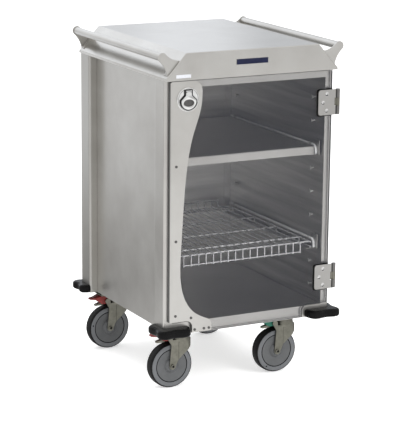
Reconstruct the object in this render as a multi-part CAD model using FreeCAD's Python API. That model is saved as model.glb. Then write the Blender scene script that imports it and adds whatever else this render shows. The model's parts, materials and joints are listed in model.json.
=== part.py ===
import FreeCAD, Part
import math
import os

os.makedirs("parts", exist_ok=True)
V = FreeCAD.Vector

# Case cart: a stainless cabinet on four swivel casters with a clear hinged door.
# X runs left to right seen from the door, Y front to back, Z up from the floor.

# Cabinet sizes in millimetres
body_width = 616.0
cover_depth = 676.0
door_recess = 19.0
sheet = 2.0
post_depth = 75.0
post_proud = 28.0
post_corner_r = 8.0
rear_lap = 20.0
rear_flange = 25.0
skirt_height = 40.0
compartment_height = 794.0
top_rail_height = 26.0
top_rail_flange = 25.0

# Sloped top cover
cover_overhang = 4.0
cover_lip = 8.0
cover_rise = 79.0
cover_slope_run = 71.0
cover_fold_r = 4.0
cover_return = 36.0

# Push handles
handle_tube_d = 25.0
handle_wall = 2.0
handle_out = 10.0
handle_up = 68.0
handle_front_inset = 8.0
handle_rear_inset = 2.0
gusset_thick = 4.0
gusset_foot_start = 11.0
gusset_foot_length = 62.0
gusset_rim = 2.5
gusset_waist = 5.0
gusset_foot_thick = 3.0
gusset_foot_width = 24.0

# Corner bumpers
bumper_height = 34.0
bumper_drop = 1.0
bumper_side_reach = 30.0
bumper_end_reach = 26.0
bumper_arm = 91.0
bumper_corner_r = 24.0
bumper_pinch = 5.0
bumper_pinch_at = 50.0
bumper_edge_r = 11.0

# Casters
wheel_d = 152.0
tread_thick = 5.0
wheel_width = 38.0
hub_proud = 3.0
hub_d = 34.0
groove_inset = 19.0
groove_width = 3.0
groove_depth = 3.0
disc_dish = 2.0
hub_shoulder = 2.0
ring_setback = 0.5
rim_setback = 1.5
tread_bulge = 0.3
tread_shoulder_drop = 1.0
tread_shoulder_in = 4.0
tread_flat_in = 9.0
axle_d = 12.0
axle_head_d = 16.0
axle_head_thick = 5.0
caster_trail = 36.0
caster_side_inset = 110.0
caster_front_inset = 107.0
caster_rear_inset = 58.0
caster_plate_x = 100.0
caster_plate_y = 84.0
caster_plate_thick = 4.0
caster_plate_r = 8.0
caster_bolt_x = 40.0
caster_bolt_y = 31.0
caster_bolt_d = 8.0
kingpin_d = 12.0
kingpin_head_d = 20.0
kingpin_head_thick = 6.0
fork_leg_thick = 4.0
fork_side_gap = 1.0
fork_crown_thick = 6.0
fork_wheel_gap = 8.0
fork_crown_r = 34.0
fork_fold_back = 15.0
fork_front = 34.0
fork_nose = 11.0
fork_nose_turn = 7.0
fork_shoulder_drop = 23.0
fork_foot_r = 11.5
fork_waist_x = 17.0
fork_waist_rise = 17.0
fork_neck_drop = 12.0
fork_neck_back = 41.0
fork_fold_gap = 1.0
race_height = 14.0
race_taper = 3.0
race_gap = 0.5
race_ring_height = 15.5
pedal_pivot_back = 46.0
pedal_pivot_up = 14.0
pedal_pin_d = 8.0
pedal_barrel_d = 14.0
pedal_ear_r = 10.0
pedal_length = 65.0
pedal_lip_length = 25.0
pedal_lip_thick = 5.0
pedal_lip_rise = 12.0
pedal_hump_rise = 20.0
pedal_hump_start = 14.0
pedal_hump_length = 8.0
pedal_heel_drop = 10.0
pedal_heel_length = 15.0
pedal_rib_d = 3.0
pedal_rib_pitch = 7.0
pedal_side_gap = 0.5
pedal_width = 42.0
channel_width = 88.0
channel_height = 48.0
channel_wall = 3.0

# Clear door and its stiffener
door_thick = 9.0
door_gap = 2.0
door_top_gap = 3.0
door_bottom_gap = 5.0
door_latch_gap = 15.0
door_hinge_gap = 11.0
door_corner_r = 6.0
notch_clear = 6.0
notch_rise = 13.0
notch_hinge_extra = 16.0
notch_r = 22.0
stiff_thick = 2.0
stiff_pad_margin = 13.0
stiff_pad_r = 34.0
stiff_waist = 40.0
stiff_foot_width = 152.0
stiff_screw_inset = 21.0
stiff_upper_screw_drop = 273.0
stiff_lower_screw_drop = 518.0
stiff_shoulder_drop = 166.0
stiff_taper_drop = 340.0
stiff_waist_rise = 282.0
stiff_sweep_rise = 116.0
stiff_ankle_rise = 65.0
stiff_toe_rise = 38.0
stiff_toe_tip = 14.0
screw_d = 4.8
screw_head_d = 9.0
screw_head_thick = 2.0

# Hinges
hinge_height = 84.0
hinge_leaf_thick = 3.0
hinge_gasket_thick = 2.0
hinge_leaf_reach = 77.0
hinge_leaf_r = 9.0
hinge_knuckle_r = 7.0
hinge_pin_d = 8.0
hinge_stand = 13.0
hinge_side_reach = 62.0
hinge_knuckle_gap = 0.5
hinge_cutback = 16.0
hinge_top_drop = 105.0
hinge_bottom_rise = 132.0
hinge_screw_step = 27.5
hinge_screw_near = 17.0
hinge_screw_far = 31.0
hinge_side_screw_inset = 11.0
hinge_gasket_rim = 1.5
sink_land = 0.6
side_screw_reach = 6.0

# Turn latch
latch_drop = 59.0
latch_inset = 60.0
latch_flange_rim = 5.0
latch_flange_thick = 3.5
latch_flange_edge = 1.0
latch_cup_floor = 0.4
latch_cup_tail = 2.0
latch_rotor_gap = 0.6
latch_rotor_d = 68.0
latch_rotor_thick = 2.5
latch_body_d = 40.0
latch_shaft_d = 12.0
latch_stub_d = 9.0
latch_dish_r = 32.0
latch_dish_depth = 1.6
latch_lever_thick = 5.0
latch_bulb_r = 27.0
latch_eye_r = 14.5
latch_eye_drop = 5.0
latch_shoulder = 12.0
latch_neck_width = 13.0
latch_pin_inset = 6.0
latch_pin_d = 3.0
latch_lug_thick = 3.0
cam_wall_gap = 2.0
cam_gap = 4.0
cam_width = 18.0
cam_thick = 4.0
cam_tip_r = 5.8
cam_nut_d = 15.6
cam_nut_thick = 5.0
strike_lip = 16.0
strike_height = 40.0
strike_depth = 30.0
strike_thick = 3.0

# Shelves, rails and wall studs
stud_pitch = 80.0
stud_first = 55.0
stud_top_gap = 90.0
stud_front_inset = 69.0
stud_rear_inset = 58.0
stud_shank_d = 8.0
stud_head_d = 14.0
stud_head_thick = 3.0
rail_stand = 8.0
rail_ledge = 30.0
rail_height = 44.0
rail_bead_d = 7.0
rail_front_r = 20.0
rail_front_inset = 36.0
rail_rear_inset = 20.0
rail_stud_drop = 28.0
hook_front = 19.0
hook_length = 56.0
hook_rise = 7.0
upper_shelf_rise = 507.0
lower_shelf_rise = 187.0
shelf_side_gap = 8.0
shelf_height = 28.0
shelf_thick = 1.6
shelf_fold_r = 5.0
seat_gap = 0.3
wire_d = 4.0
frame_wire_d = 6.0
wire_pitch = 27.2
wire_side_gap = 38.0
wire_lip = 38.0
wire_back_lip = 25.0
wire_deck_rise = 23.0
cross_pitch = 160.0
cross_first = 78.0

# Fits
run_fit = 0.05
hole_fit = 0.1

# Planes that follow from the sizes
x_post = body_width / 2
x_panel = x_post - post_proud
x_in = x_panel - sheet
y_cover_front = -cover_depth / 2
y_rear = cover_depth / 2
y_front = y_cover_front + door_recess
y_in_rear = y_rear - 2 * sheet
wheel_r = wheel_d / 2
hub_width = wheel_width + 2 * hub_proud
crown_low = wheel_d + fork_wheel_gap
crown_top = crown_low + fork_crown_thick
race_top = crown_top + race_height
plate_low = race_top + race_gap + race_ring_height
caster_height = plate_low + caster_plate_thick
z_floor_top = caster_height + channel_height + sheet
z_skirt = z_floor_top - skirt_height
z_ceiling = z_floor_top + compartment_height
z_top = z_ceiling + sheet
x_drip = x_post + cover_overhang
z_lip = z_top + cover_lip
z_deck = z_lip + cover_rise
x_deck = x_drip - cover_slope_run
y_door_back = y_front - door_gap
y_door = y_door_back - door_thick
x_door_left = -x_post + door_latch_gap
x_door_right = x_post - door_hinge_gap
z_door_top = z_top - door_top_gap
z_door_bottom = z_skirt + door_bottom_gap
z_bumper = z_skirt - bumper_drop
z_bumper_top = z_bumper + bumper_height
y_stiff = y_door - stiff_thick
y_leaf = y_door - hinge_gasket_thick - hinge_leaf_thick
hinge_x = x_post + hinge_stand
hinge_y = y_leaf + hinge_knuckle_r
z_hinges = (z_door_top - hinge_top_drop, z_door_bottom + hinge_bottom_rise)
latch_x = x_door_left + latch_inset
latch_z = z_door_top - latch_drop
caster_x = x_post - caster_side_inset
y_caster_front = y_front + caster_front_inset
y_caster_rear = y_rear - caster_rear_inset


def box(x0, x1, y0, y1, z0, z1):
    return Part.makeBox(x1 - x0, y1 - y0, z1 - z0, V(x0, y0, z0))


def rod(p, direction, radius, length):
    return Part.makeCylinder(radius, length, p, direction)


def slab(points, direction):
    # Straight-sided profile pulled along a direction
    wire = Part.makePolygon([V(*p) for p in points] + [V(*points[0])])
    return Part.Face(wire).extrude(direction)


def pulled(edges, direction):
    return Part.Face(Part.Wire(Part.__sortEdges__(edges))).extrude(direction)


def line(a, b):
    return Part.LineSegment(V(*a), V(*b)).toShape()


def arc(a, m, b):
    return Part.Arc(V(*a), V(*m), V(*b)).toShape()


def joined(shapes):
    first = shapes[0]
    return first.multiFuse(shapes[1:]).removeSplitter() if len(shapes) > 1 else first


def fillet_where(shape, radius, test):
    edges = [e for e in shape.Edges if test(e)]
    return shape.makeFillet(radius, edges)


def upright_at(x, y):
    # Test for a vertical edge standing at a plan position
    def test(edge):
        if len(edge.Vertexes) != 2:
            return False
        a, b = edge.Vertexes[0].Point, edge.Vertexes[1].Point
        flat = abs(a.x - b.x) + abs(a.y - b.y) < 1e-6
        return flat and abs(a.x - x) + abs(a.y - y) < 1e-4
    return test


def mirror_x(shape):
    return shape.mirror(V(0, 0, 0), V(1, 0, 0))


def mirror_y(shape):
    return shape.mirror(V(0, 0, 0), V(0, 1, 0))


def save(name, shapes):
    if not isinstance(shapes, list):
        shapes = [shapes]
    solids = [s for shape in shapes for s in shape.Solids]
    piece = solids[0] if len(solids) == 1 else Part.makeCompound(solids)
    piece.exportStep("parts/" + name + ".step")
    print(name, len(solids), "solids", "valid" if piece.isValid() else "NOT VALID")


# Corner posts: folded channels that stand proud of the side panels
def corner_post(y_face, inward, lap):
    y_back = y_face + inward * post_depth
    low, high = min(y_face, y_back), max(y_face, y_back)
    outer = box(x_panel, x_post, low, high, z_skirt, z_top)
    outer = fillet_where(outer, post_corner_r, upright_at(x_post, low))
    outer = fillet_where(outer, post_corner_r, upright_at(x_post, high))
    inner_x = x_post - sheet
    hollow = box(x_panel, inner_x, low + sheet, high - sheet, z_skirt, z_top)
    hollow = fillet_where(hollow, post_corner_r - sheet, upright_at(inner_x, low + sheet))
    hollow = fillet_where(hollow, post_corner_r - sheet, upright_at(inner_x, high - sheet))
    edge = y_face + inward * sheet
    flange = box(x_in - lap, x_panel, min(y_face, edge), max(y_face, edge), z_skirt, z_top)
    return joined([outer.cut(hollow), flange])


front_post = corner_post(y_front, 1, 0.0)
rear_post = corner_post(y_rear, -1, rear_lap)


# Hinge screws enter the front right post from its side
leaf_back = hinge_y + hinge_knuckle_r + hinge_side_reach
leaf_front = y_front + post_corner_r + sheet


def side_screw_points(z_mid):
    far = leaf_back - hinge_side_screw_inset
    near = (leaf_front + leaf_back) / 2
    return [(far, z_mid + hinge_screw_step), (near, z_mid), (far, z_mid - hinge_screw_step)]


hinge_side_points = [p for z in z_hinges for p in side_screw_points(z)]
drills = [rod(V(x_panel, y, z), V(1, 0, 0), screw_d / 2 + hole_fit, x_post)
          for y, z in hinge_side_points]
post_front_right = front_post.cut(Part.makeCompound(drills))

save("post_front_left", mirror_x(front_post))
save("post_front_right", post_front_right)
save("post_rear_left", mirror_x(rear_post))
save("post_rear_right", rear_post)


# Side panels with the welded studs that carry the shelf rails
y_stud_front = y_front + stud_front_inset
y_stud_rear = y_rear - stud_rear_inset
stud_rows = int((compartment_height - stud_first - stud_top_gap) / stud_pitch) + 1
stud_z = [z_floor_top + stud_first + i * stud_pitch for i in range(stud_rows)]
x_rail = x_in - rail_stand
x_stud_end = x_rail - sheet - stud_head_thick


def stud(y, z):
    shank = rod(V(x_in, y, z), V(-1, 0, 0), stud_shank_d / 2, x_in - x_stud_end)
    head = rod(V(x_stud_end, y, z), V(1, 0, 0), stud_head_d / 2, stud_head_thick)
    return shank.fuse(head)


panel = box(x_in, x_panel, y_front + sheet, y_rear - sheet, z_skirt, z_top)
studs = [stud(y, z) for y in (y_stud_front, y_stud_rear) for z in stud_z]
side_panel = joined([panel] + studs)
save("side_panel_right", side_panel)
save("side_panel_left", mirror_x(side_panel))

# Rear panel with a corner strip down each edge, behind the floor pan
y_pan_rear = y_in_rear - sheet
back = box(-x_in, x_in, y_in_rear, y_rear - sheet, z_skirt, z_top)
strip = box(x_in - rear_flange, x_in, y_pan_rear, y_in_rear, z_skirt, z_ceiling)
save("rear_panel", joined([back, strip, mirror_x(strip)]))
save("ceiling_panel", box(-x_in, x_in, y_front, y_in_rear, z_ceiling, z_top))


# Floor pan: a tray folded down on all four sides, its front fold is the lower rail
pan = box(-x_in, x_in, y_front, y_pan_rear, z_skirt, z_floor_top)
pan_hollow = box(-x_in + sheet, x_in - sheet, y_front + sheet, y_pan_rear - sheet,
                 z_skirt, z_floor_top - sheet)
save("floor_pan", pan.cut(pan_hollow))

# Front top rail: an angle under the ceiling
rail_low = z_ceiling - top_rail_height + sheet
rail_face = box(-x_in, x_in, y_front, y_front + sheet, rail_low, z_ceiling)
rail_top = box(-x_in, x_in, y_front, y_front + top_rail_flange, z_ceiling - sheet, z_ceiling)
save("front_top_rail", joined([rail_face, rail_top]))


# Top cover: folded cap with a flat deck, sloped sides and upright ends
def cover_profile(inset, z_base):
    # Side slope moved inwards by the sheet thickness
    run, rise = x_drip - x_deck, z_deck - z_lip
    along = math.hypot(run, rise)
    x_low = x_drip - inset
    z_low = z_lip - (inset * along - inset * rise) / run
    x_high = x_deck - inset * (along - run) / rise
    return [(-x_low, z_base), (-x_low, z_low), (-x_high, z_deck - inset),
            (x_high, z_deck - inset), (x_low, z_low), (x_low, z_base)]


def cover_solid(inset, z_base):
    pts = [(x, y_cover_front + inset, z) for x, z in cover_profile(inset, z_base)]
    return slab(pts, V(0, cover_depth - 2 * inset, 0))


cap = cover_solid(0.0, z_top)
cap = fillet_where(cap, cover_fold_r,
                   lambda e: min(v.Point.z for v in e.Vertexes) > z_top + cover_lip / 2)
cap = cap.cut(cover_solid(sheet, z_top + sheet))
mouth = box(-x_drip + cover_return, x_drip - cover_return, y_cover_front + cover_return,
            y_rear - cover_return, z_top, z_top + sheet)
save("top_cover", cap.cut(mouth))


# Push handles along both sides, carried by triangular end gussets
tube_r = handle_tube_d / 2
tube_x = x_drip + handle_out
tube_z = z_lip + handle_up
y_handle_front = y_cover_front + handle_front_inset
y_handle_rear = y_rear - handle_rear_inset
tube = rod(V(tube_x, y_handle_front + gusset_thick, tube_z), V(0, 1, 0), tube_r,
           y_handle_rear - y_handle_front - 2 * gusset_thick)
tube_bore = rod(V(tube_x, y_handle_front, tube_z), V(0, 1, 0), tube_r - handle_wall, cover_depth)
save("handle_tube_right", tube.cut(tube_bore))
save("handle_tube_left", mirror_x(tube.cut(tube_bore)))


def on_slope(distance):
    # Point on the side slope, measured up from the lip
    up = V(x_deck - x_drip, 0, z_deck - z_lip).normalize()
    return V(x_drip, 0, z_lip) + up * distance


def gusset(y_plate, inward):
    low = on_slope(gusset_foot_start)
    high = on_slope(gusset_foot_start + gusset_foot_length)
    hub = V(tube_x, 0, tube_z)
    mid = (low + high) * 0.5
    down = (mid - hub).normalize()
    out = V(-down.z, 0, down.x)
    if (low - mid).dot(out) < 0:
        out = out * -1
    rim = tube_r + gusset_rim
    a, b = hub + out * rim, hub - out * rim
    waist_low = (low + a) * 0.5 - out * gusset_waist
    waist_high = (high + b) * 0.5 + out * gusset_waist
    tip = hub - down * rim
    edges = [arc(low, waist_low, a), arc(a, tip, b), arc(b, waist_high, high), line(high, low)]
    plate = pulled(edges, V(0, gusset_thick, 0))
    lift = V(-(high - low).z, 0, (high - low).x).normalize() * gusset_foot_thick
    if lift.z < 0:
        lift = lift * -1
    foot = slab([low, high, high + lift, low + lift], V(0, gusset_foot_width, 0))
    if inward < 0:
        plate.translate(V(0, y_plate - gusset_thick, 0))
        foot.translate(V(0, y_plate - gusset_foot_width, 0))
    else:
        plate.translate(V(0, y_plate, 0))
        foot.translate(V(0, y_plate, 0))
    return joined([plate, foot])


gussets = [gusset(y_handle_front, 1), gusset(y_handle_rear, -1)]
save("handle_gussets_right", gussets)
save("handle_gussets_left", [mirror_x(g) for g in gussets])


# Corner bumpers: a round corner that runs into a pinched, tapering lobe along each wall
def bumper(y_face, outward):
    y_out = outward * (cover_depth / 2 + bumper_end_reach)
    x_out = x_post + bumper_side_reach
    r = bumper_corner_r
    k = r - r * math.sqrt(0.5)
    x_tip, y_tip = x_post - bumper_arm, y_face - outward * post_depth
    x_pinch, y_pinch = x_out - bumper_pinch_at, y_out - outward * bumper_pinch_at
    plan = [(x_tip, y_face), ((x_tip + x_pinch) / 2, y_out), (x_pinch, y_out - outward * bumper_pinch),
            (x_out - r, y_out), (x_out - k, y_out - outward * k), (x_out, y_out - outward * r),
            (x_out - bumper_pinch, y_pinch), (x_out, (y_tip + y_pinch) / 2), (x_post, y_tip)]
    curve = Part.BSplineCurve()
    curve.interpolate([V(x, y, z_bumper) for x, y in plan])
    inner = (x_post, y_face, z_bumper)
    edges = [curve.toShape(), line((x_post, y_tip, z_bumper), inner), line(inner, (x_tip, y_face, z_bumper))]
    body = pulled(edges, V(0, 0, bumper_height))

    def rim(edge):
        middle = edge.CenterOfMass
        off_wall = abs(middle.x - x_post) > 1e-6 and abs(middle.y - y_face) > 1e-6
        return edge.BoundBox.ZLength < 1e-6 and off_wall

    return fillet_where(body, bumper_edge_r, rim)


front_bumper = bumper(y_front, -1)
rear_bumper = bumper(y_rear, 1)
save("bumper_front_right", front_bumper)
save("bumper_front_left", mirror_x(front_bumper))
save("bumper_rear_right", rear_bumper)
save("bumper_rear_left", mirror_x(rear_bumper))


# Cross channels under the floor that take the caster plates
def channel(y_mid):
    x_end = x_in - sheet
    z0, z1 = caster_height, z_floor_top - sheet
    half = channel_width / 2
    outer = box(-x_end, x_end, y_mid - half, y_mid + half, z0, z1)
    hollow = box(-x_end, x_end, y_mid - half + channel_wall, y_mid + half - channel_wall,
                 z0 + channel_wall, z1)
    holes = [rod(V(sx * caster_x + dx, y_mid + dy, z0), V(0, 0, 1),
                 caster_bolt_d / 2 + hole_fit, channel_wall)
             for sx in (-1, 1)
             for dx in (-caster_bolt_x, caster_bolt_x)
             for dy in (-caster_bolt_y, caster_bolt_y)]
    return outer.cut(hollow).cut(Part.makeCompound(holes))


save("base_channels", [channel(y_caster_front), channel(y_caster_rear)])

# Caster stations
stations = {
    "front_left": (-caster_x, y_caster_front),
    "front_right": (caster_x, y_caster_front),
    "rear_left": (-caster_x, y_caster_rear),
    "rear_right": (caster_x, y_caster_rear),
}


# Fixed top plate with its race and king pin, drawn about the swivel axis
def caster_plate():
    hx, hy = caster_plate_x / 2, caster_plate_y / 2
    plate = box(-hx, hx, -hy, hy, plate_low, caster_height)
    plate = fillet_where(plate, caster_plate_r, lambda e: e.BoundBox.ZLength > caster_plate_thick / 2)
    holes = [rod(V(dx, dy, plate_low), V(0, 0, 1), caster_bolt_d / 2 + hole_fit, caster_plate_thick)
             for dx in (-caster_bolt_x, caster_bolt_x) for dy in (-caster_bolt_y, caster_bolt_y)]
    plate = plate.cut(Part.makeCompound(holes))
    low = race_top + race_gap
    pin_low = crown_low - race_gap
    r_pin, r_head = kingpin_d / 2, kingpin_head_d / 2
    r_race = fork_crown_r - race_taper
    pts = [(0, 0, pin_low - kingpin_head_thick), (r_head, 0, pin_low - kingpin_head_thick),
           (r_head, 0, pin_low), (r_pin, 0, pin_low), (r_pin, 0, low),
           (r_race, 0, low), (r_race - race_taper, 0, plate_low), (0, 0, plate_low)]
    face = Part.Face(Part.makePolygon([V(*p) for p in pts + pts[:1]]))
    return joined([plate, face.revolve(V(0, 0, 0), V(0, 0, 1), 360)])


plates = []
for x, y in stations.values():
    unit = caster_plate()
    unit.translate(V(x, y, 0))
    plates.append(unit)
save("caster_plates", plates)


# Plate bolts: hex heads below, round nuts inside the channel
def hexagon(flat, z0, height):
    r = flat / math.sqrt(3)
    pts = [(r * math.cos(math.pi / 3 * i), r * math.sin(math.pi / 3 * i), z0) for i in range(6)]
    return slab(pts, V(0, 0, height))


def plate_bolt():
    head_h = caster_bolt_d * 0.55
    nut_z = caster_height + channel_wall
    shank = rod(V(0, 0, plate_low), V(0, 0, 1), caster_bolt_d / 2, nut_z + head_h - plate_low)
    head = hexagon(caster_bolt_d * 1.6, plate_low - head_h, head_h)
    nut = hexagon(caster_bolt_d * 1.6, nut_z, head_h)
    return joined([shank, head, nut])


bolts = []
for x, y in stations.values():
    for dx in (-caster_bolt_x, caster_bolt_x):
        for dy in (-caster_bolt_y, caster_bolt_y):
            one = plate_bolt()
            one.translate(V(x + dx, y + dy, 0))
            bolts.append(one)
save("caster_bolts", bolts)


# Fork: creased legs cut to the drop-shaped outline, with a crown, race cup and pedal ears
leg_in = hub_width / 2 + fork_side_gap
leg_out = leg_in + fork_leg_thick
fork_fold_depth = leg_in - wheel_width / 2 - fork_fold_gap
pivot_z = crown_low + pedal_pivot_up
pivot_x = -pedal_pivot_back


def fork():
    # Plan section of one leg: a flat strap behind, a step towards the wheel, a nose that turns in
    step = fork_fold_depth
    t = fork_leg_thick
    k = t * math.tan(math.pi / 8)
    fold_x, step_x = -fork_fold_back, -fork_fold_back + step
    nose_x = fork_front - fork_nose
    turn = math.atan2(fork_nose_turn, fork_nose)
    n = t * math.tan(turn / 2)
    face_y = -leg_out + step
    nose_y = face_y + fork_nose_turn
    leg_back = -caster_trail - pedal_pivot_back - fork_foot_r - pedal_ear_r
    outer = [(leg_back, -leg_out, 0), (fold_x, -leg_out, 0), (step_x, face_y, 0), (nose_x, face_y, 0),
             (fork_front, nose_y, 0)]
    inner = [(fork_front, nose_y + t / math.cos(turn), 0), (nose_x - n, face_y + t, 0),
             (step_x - k, face_y + t, 0), (fold_x - k, -leg_in, 0), (leg_back, -leg_in, 0)]
    leg = slab(outer + inner, V(0, 0, crown_top + pedal_ear_r * 4))
    # Side outline of a leg, wide at the crown, with a slim strap down to the axle
    foot_x = -caster_trail
    foot = V(foot_x, 0, wheel_r)
    r = fork_foot_r
    shoulder = (fork_front, 0, crown_low - fork_shoulder_drop)
    waist = (-fork_waist_x, 0, wheel_r + fork_waist_rise)
    right, low, left = (foot_x + r, 0, wheel_r), (foot_x, 0, wheel_r - r), (foot_x - r, 0, wheel_r)
    neck = (-fork_neck_back, 0, crown_low - fork_neck_drop)
    ear_l = (pivot_x - pedal_ear_r, 0, pivot_z)
    ear_t = (pivot_x, 0, pivot_z + pedal_ear_r)
    ear_r = (pivot_x + pedal_ear_r, 0, pivot_z)
    edges = [line(ear_l, neck), line(neck, left), arc(left, low, right), line(right, waist),
             line(waist, shoulder), line(shoulder, (fork_front, 0, crown_top)),
             line((fork_front, 0, crown_top), (ear_r[0], 0, crown_top)),
             line((ear_r[0], 0, crown_top), ear_r), arc(ear_r, ear_t, ear_l)]
    outline = pulled(edges, V(0, 4 * leg_out, 0))
    outline.translate(V(0, -2 * leg_out, 0))
    near = leg.common(outline)
    legs = [near, mirror_y(near)]
    # Crown between the legs and the upper race cup
    crown_back = pivot_x + pedal_ear_r
    side = [(crown_back, -leg_in, crown_low)] + [(x, y, crown_low) for x, y, z in reversed(inner[:-1])]
    crown = slab(side + [(x, -y, z) for x, y, z in reversed(side)], V(0, 0, fork_crown_thick))
    disc = rod(V(0, 0, crown_low), V(0, 0, 1), fork_crown_r, fork_crown_thick)
    cup = Part.makeCone(fork_crown_r, fork_crown_r - race_taper, race_height, V(0, 0, crown_top), V(0, 0, 1))
    body = joined([crown, disc, cup] + legs)
    pin_hole = rod(V(0, 0, crown_low), V(0, 0, 1), kingpin_d / 2 + run_fit, race_top)
    axle_hole = rod(V(foot_x, -leg_out, wheel_r), V(0, 1, 0), axle_d / 2, 2 * leg_out)
    pivot = rod(V(pivot_x, -leg_out, pivot_z), V(0, 1, 0), pedal_pin_d / 2, 2 * leg_out)
    return joined([body.cut(pin_hole).cut(axle_hole), pivot])


# Axle bolt with a domed head in front and a nut behind
def axle():
    shank = rod(V(-caster_trail, -leg_out, wheel_r), V(0, 1, 0), axle_d / 2, 2 * leg_out)
    head = rod(V(-caster_trail, -leg_out, wheel_r), V(0, -1, 0), axle_head_d / 2, axle_head_thick)
    head = head.makeFillet(axle_head_thick * 0.4, [e for e in head.Edges
                           if e.BoundBox.YLength < 1e-6 and e.CenterOfMass.y < -leg_out - 1])
    nut = rod(V(-caster_trail, leg_out, wheel_r), V(0, 1, 0), axle_head_d / 2, axle_head_thick)
    return joined([shank, head, nut])


# Wheel: revolved disc with hub, dish and ring groove, and a bonded tread
def turned(points):
    # Half profile of radius and side offset, spun about the axle
    pts = [V(-caster_trail + r, y, wheel_r) for r, y in points]
    face = Part.Face(Part.makePolygon(pts + pts[:1]))
    return face.revolve(V(-caster_trail, 0, wheel_r), V(0, 1, 0), 360)


def wheel():
    half, hub_half = wheel_width / 2, hub_width / 2
    rim_r, groove_r = wheel_r - tread_thick, wheel_r - groove_inset
    bore, hub_r = axle_d / 2 + run_fit, hub_d / 2
    disc = half - disc_dish
    side = [(bore, hub_half), (hub_r, hub_half), (hub_r + hub_shoulder, disc),
            (groove_r - groove_width, disc), (groove_r - groove_width, disc - groove_depth),
            (groove_r, disc - groove_depth), (groove_r, half - ring_setback), (rim_r, half - rim_setback)]
    return turned(side + [(r, -y) for r, y in reversed(side)])


def tyre():
    rim_r, half = wheel_r - tread_thick, wheel_width / 2
    edge = half - rim_setback
    side = [(rim_r, edge), (rim_r + tread_thick / 2, edge + tread_bulge),
            (wheel_r - tread_shoulder_drop, half - tread_shoulder_in), (wheel_r, half - tread_flat_in)]
    return turned(side + [(r, -y) for r, y in reversed(side)])


# Lock pedal: barrel on the fork pin, a humped body and a thin ribbed lip to step on
def pedal():
    half = leg_in - pedal_side_gap
    barrel_r = pedal_barrel_d / 2
    barrel = rod(V(pivot_x, -half, pivot_z), V(0, 1, 0), barrel_r, 2 * half)

    def place(out, up):
        return (pivot_x - out, 0, pivot_z + up)

    lip_in = pedal_length - pedal_lip_length
    hump_end = pedal_hump_start + pedal_hump_length
    heel_end = barrel_r + pedal_heel_length
    nose = pedal_lip_thick / 2
    lip_low = pedal_lip_rise - pedal_lip_thick
    top = [place(0, barrel_r), place(pedal_hump_start, pedal_hump_rise), place(hump_end, pedal_hump_rise),
           place(lip_in, pedal_lip_rise), place(pedal_length - nose, pedal_lip_rise)]
    below = [place(pedal_length - nose, lip_low), place(lip_in, lip_low), place(heel_end, -pedal_heel_drop),
             place(barrel_r, -pedal_heel_drop), place(0, 0)]
    edges = [line(a, b) for a, b in zip(top, top[1:])]
    edges.append(arc(top[-1], place(pedal_length, pedal_lip_rise - nose), below[0]))
    edges += [line(a, b) for a, b in zip(below, below[1:])]
    edges.append(line(below[-1], top[0]))
    pad = pulled(edges, V(0, pedal_width, 0))
    pad.translate(V(0, -pedal_width / 2, 0))
    ribs = []
    rib_x = pedal_length - pedal_rib_pitch
    while rib_x > lip_in:
        x, y, z = place(rib_x, pedal_lip_rise)
        ribs.append(rod(V(x, -pedal_width / 2 + pedal_rib_d, z), V(0, 1, 0), pedal_rib_d / 2,
                        pedal_width - 2 * pedal_rib_d))
        rib_x -= pedal_rib_pitch
    bore = rod(V(pivot_x, -half, pivot_z), V(0, 1, 0), pedal_pin_d / 2 + run_fit, 2 * half)
    return joined([barrel, pad] + ribs).cut(bore)


for name, (x, y) in stations.items():
    for piece, make in (("fork", fork), ("axle", axle), ("wheel", wheel), ("tyre", tyre), ("pedal", pedal)):
        shape = make()
        shape.translate(V(x, y, 0))
        save(piece + "_" + name, shape)


# Clear door sheet, notched at both lower corners around the bumpers
notch_top = z_bumper_top + notch_rise
x_notch_left = -x_post + bumper_arm + notch_clear
x_notch_right = x_post - bumper_arm - notch_hinge_extra


def door_outline(x_left, x_right, z_low, z_high, y):
    r, n = door_corner_r, notch_r
    k = math.sqrt(0.5)
    a, b = x_notch_left, x_notch_right
    return [
        line((x_left + r, y, z_high), (x_right - r, y, z_high)),
        arc((x_right - r, y, z_high), (x_right - r + r * k, y, z_high - r + r * k),
            (x_right, y, z_high - r)),
        line((x_right, y, z_high - r), (x_right, y, notch_top)),
        line((x_right, y, notch_top), (b + n, y, notch_top)),
        arc((b + n, y, notch_top), (b + n - n * k, y, notch_top - n + n * k), (b, y, notch_top - n)),
        line((b, y, notch_top - n), (b, y, z_low)),
        line((b, y, z_low), (a, y, z_low)),
        line((a, y, z_low), (a, y, notch_top - n)),
        arc((a, y, notch_top - n), (a - n + n * k, y, notch_top - n + n * k), (a - n, y, notch_top)),
        line((a - n, y, notch_top), (x_left, y, notch_top)),
        line((x_left, y, notch_top), (x_left, y, z_high - r)),
        arc((x_left, y, z_high - r), (x_left + r - r * k, y, z_high - r + r * k), (x_left + r, y, z_high)),
    ]


# Screw places on the stiffener and the hinge leaves
stiff_x = x_door_left + stiff_screw_inset
foot_right = x_door_left + stiff_foot_width
stiff_pad_width = latch_inset + latch_rotor_d / 2 + latch_flange_rim + stiff_pad_margin
stiff_points = [(stiff_x, z_door_top - stiff_upper_screw_drop),
                (stiff_x, z_door_top - stiff_lower_screw_drop),
                (stiff_x, notch_top + stiff_screw_inset),
                (x_notch_left - screw_head_d / 2, notch_top + screw_head_d),
                (x_notch_left + screw_head_d, z_door_bottom + screw_head_d),
                (foot_right - 3 * screw_head_d, z_door_bottom + screw_head_d),
                (foot_right - screw_head_d, z_door_bottom + screw_head_d)]
leaf_left = hinge_x - hinge_leaf_reach
leaf_points = []
for z_mid in z_hinges:
    leaf_points.append((leaf_left + hinge_screw_far, z_mid + hinge_screw_step))
    leaf_points.append((leaf_left + hinge_screw_near, z_mid))
    leaf_points.append((leaf_left + hinge_screw_far, z_mid - hinge_screw_step))


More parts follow.
